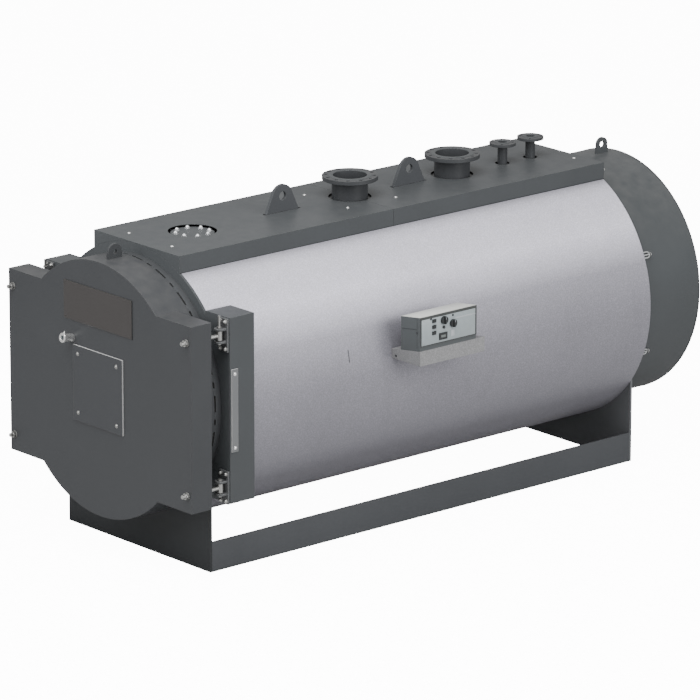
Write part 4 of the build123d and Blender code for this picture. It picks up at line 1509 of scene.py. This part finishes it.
class ControlPanel(Assembly):
    """Panel case on its shelf, with knobs, switches and a gauge."""

    sizes = PanelSizes()
    finishes = {
        "panel_shelf": Finish.SHELF,
        "panel_case": Finish.PANEL,
        "panel_fascia": Finish.BEZEL,
        "panel_switches": Finish.BLACK,
        "panel_gauge": Finish.BLACK,
        "knob_upper": Finish.BLACK,
        "knob_lower": Finish.BLACK,
    }

    def dress(self) -> None:
        """Add everything on the panel's face and case."""
        self._film()
        self._case()
        self._face()
        self._screws()
        self._dial_marks()
        self._knob("upper", self.sizes.upper_knob, Body.UPPER_KNOB)
        self._knob("lower", self.sizes.lower_knob, Body.LOWER_KNOB)

    def _behind(self, place: Pair, y: float) -> Vector:
        """Point at a depth, so far behind the face and below the case's top."""
        return at(self.sizes.face_x - place[0], y, self.sizes.top - place[1])

    def _tile(self, maker: MeshMaker, tile: Tile) -> None:
        """Add a small block on the face."""
        maker.block(at(self.sizes.face_x + tile.out, *tile.place), tile.size, tile.chamfer)

    def _stud(self, maker: MeshMaker, stud: Stud) -> None:
        """Add a small turned part on the face."""
        stand = towards(at(self.sizes.face_x, *stud.place), RIGHT)
        maker.turned(stand, stud.profile, stud.facets)

    def _film(self) -> None:
        """Add the printed film of the face, inside its borders."""
        s = self.sizes
        maker = MeshMaker()
        near, far, low, high = s.borders
        y = s.start + (s.length + near - far) / 2.0
        z = (s.bottom + s.top + low - high) / 2.0
        size = (s.film, s.length - near - far, s.top - s.bottom - low - high)
        maker.block(at(s.face_x + s.film / 2.0, y, z), size, 0.15)
        self.add(maker, "fascia_film", Finish.FACE, Slot.FASCIA)

    def _case(self) -> None:
        """Add the pale lid and the dark joints between the case's halves."""
        s = self.sizes
        lid, split = MeshMaker(), MeshMaker()
        slope = Matrix.Rotation(math.atan(s.lid_slope), 4, "Y")
        middle = Matrix.Translation(self._behind(s.lid_place, s.start + s.length / 2.0))
        lid.block(middle @ slope, (s.lid_size[0], s.length, s.lid_size[1]), 0.5)
        self.add(lid, "panel_lid", Finish.LID, Slot.PALE)
        for y in (s.start - s.joint_out, s.start + s.length + s.joint_out):
            middle = Matrix.Translation(self._behind(s.side_joint_place, y))
            split.block(middle @ slope, s.side_joint, 0.2)
            split.block(self._behind(s.front_joint_place, y), s.front_joint, 0.2)
        self.add(split, "case_split", Finish.BLACK, Slot.BLACK)

    def _face(self) -> None:
        """Add the tiles, the cap, the lamp and the display."""
        s = self.sizes
        pale, dark, lamp, display = (MeshMaker() for _ in range(4))
        for tile in (s.stripe, s.blank):
            self._tile(pale, tile)
        self.add(pale, "fascia_tiles", Finish.STRIPE, Slot.FASCIA)
        for stud in (s.cap, s.button):
            self._stud(dark, stud)
        for tile in s.rockers:
            self._tile(dark, tile)
        self.add(dark, "fascia_cap", Finish.BLACK, Slot.BLACK)
        self._stud(lamp, s.lamp)
        self.add(lamp, "fascia_lamp", Finish.LAMP, Slot.GAUGE)
        self._tile(display, s.display)
        self.add(display, "gauge_display", Finish.DISPLAY, Slot.GAUGE)

    def _screws(self) -> None:
        """Add the screws of the face and at the sides of case and shelf."""
        s = self.sizes
        front, sides = MeshMaker(), MeshMaker()
        for y in (s.start + s.screw_inset, s.start + s.length - s.screw_inset):
            for z in (s.bottom + s.screw_inset, s.top - s.screw_inset):
                screw_head(front, at(s.face_x + s.film, y, z), RIGHT, s.face_screw)
        self.add(front, "fascia_screws", Finish.ZINC, Slot.STEEL)
        for y, direction in ((s.start, FRONT), (s.start + s.length, BACK)):
            screw_head(sides, self._behind(s.case_screw_place, y), direction, s.case_screw)
        for y, direction in ((s.start, FRONT), (s.start + s.shelf_length, BACK)):
            screw_head(sides, self._behind(s.shelf_screw_place, y), direction, s.shelf_screw)
        self.add(sides, "panel_side_screws", Finish.BLACK, Slot.BLACK)

    def _dial_marks(self) -> None:
        """Add the scale marks round both knobs."""
        s = self.sizes
        maker = MeshMaker()
        for y, z in (s.upper_knob, s.lower_knob):
            for i in range(s.mark_count):
                angle = math.radians(s.mark_first + s.mark_step * i)
                dy, dz = s.mark_radius * math.sin(angle), s.mark_radius * math.cos(angle)
                place = Matrix.Translation(at(s.face_x + 0.2, y + dy, z + dz))
                maker.block(place @ Matrix.Rotation(-angle, 4, "X"), s.mark, 0.2)
        self.add(maker, "dial_marks", Finish.BLACK, Slot.BLACK)

    def _knob(self, name: str, place: Pair, body: Body) -> None:
        """Add the pointer line of one knob.

        Args:
            name: upper or lower.
            place: depth and height of its axis.
            body: body of the knob.
        """
        s = self.sizes
        maker = MeshMaker()
        self._tile(maker, Tile(s.line_out, (place[0], place[1] + s.line_up), s.line, 0.2))
        self.add(maker, f"knob_{name}_line", Finish.STRIPE, Slot.BLACK, body)


@dataclass(frozen=True)
class Light:
    """One soft square light, in metres and watts."""

    name: str
    place: Triple
    size: float
    power: float


@dataclass(frozen=True)
class StudioSizes:
    """Camera and light settings, in metres, degrees and watts."""

    camera: Triple = (25.98048, -20.86824, 10.87770)
    azimuth: float = 49.08544
    elevation: float = 16.18638
    roll: float = 0.08657
    lens: float = 303.3022
    clip: Pair = (1.0, 400.0)
    floor: float = 60.0
    world: float = 0.62
    aim: Triple = (0.0, 1.7, 1.0)
    lights: tuple[Light, ...] = (
        Light("key_light", (2.5, -2.0, 9.5), 7.0, 1200.0),
        Light("front_light", (-1.5, -10.0, 6.0), 6.0, 800.0),
        Light("side_light", (11.0, 3.0, 5.0), 6.0, 1020.0),
    )


class Studio(Assembly):
    """Floor, lights and camera."""

    sizes = StudioSizes()

    def dress(self) -> None:
        """Build the studio."""
        self._floor()
        self._world()
        for light in self.sizes.lights:
            self._light(light)
        self._camera()

    def _place(self, name: str, data: bpy.types.ID) -> bpy.types.Object:
        """Put an object in the scene.

        Args:
            name: its name.
            data: its mesh, light or camera.

        Returns:
            The placed object.
        """
        made = bpy.data.objects.new(name, data)
        bpy.context.scene.collection.objects.link(made)
        return made

    def _floor(self) -> None:
        """Lay the pale floor."""
        mesh = bpy.data.meshes.new("studio_floor")
        half = self.sizes.floor
        corners = [(-half, -half, 0), (half, -half, 0), (half, half, 0), (-half, half, 0)]
        mesh.from_pydata(corners, [], [(0, 1, 2, 3)])
        mesh.materials.append(self.palette.get(Finish.FLOOR))
        floor = self._place("studio_floor", mesh)

    def _world(self) -> None:
        """Set an even pale sky."""
        world = bpy.data.worlds.new("studio_world")
        world.use_nodes = True
        sky = world.node_tree.nodes["Background"]
        sky.inputs["Color"].default_value = (*WHITE, 1.0)
        sky.inputs["Strength"].default_value = self.sizes.world
        bpy.context.scene.world = world

    def _light(self, light: Light) -> None:
        """Add one soft light.

        Args:
            light: its settings.
        """
        data = bpy.data.lights.new(light.name, "AREA")
        data.shape = "SQUARE"
        data.size = light.size
        data.energy = light.power
        lamp = self._place(light.name, data)
        lamp.location = light.place
        ahead = Vector(self.sizes.aim) - Vector(light.place)
        lamp.rotation_euler = ahead.to_track_quat("-Z", "Y").to_euler()

    def _camera(self) -> None:
        """Place the camera at the photograph's angle."""
        s = self.sizes
        a, e, r = (math.radians(v) for v in (s.azimuth, s.elevation, s.roll))
        ahead = Vector((-math.sin(a) * math.cos(e), math.cos(a) * math.cos(e), -math.sin(e)))
        level = Vector((math.cos(a), math.sin(a), 0.0))
        lift = level.cross(ahead)
        right = level * math.cos(r) + lift * math.sin(r)
        up = lift * math.cos(r) - level * math.sin(r)
        data = bpy.data.cameras.new("photo_camera")
        data.sensor_width = 36.0
        data.lens = s.lens
        data.clip_start, data.clip_end = s.clip
        camera = self._place("photo_camera", data)
        turn = Matrix((right, up, -ahead)).transposed()
        camera.matrix_world = Matrix.Translation(Vector(s.camera)) @ turn.to_4x4()
        bpy.context.scene.camera = camera


def main() -> None:
    """Dress the boiler."""
    palette = Palette()
    for part in (Base, PressureBody, HingePosts, TopCover, Door, Hinges, SmokeBox, ControlPanel, Studio):
        part(palette).build()


if __name__ == "__main__":
    main()
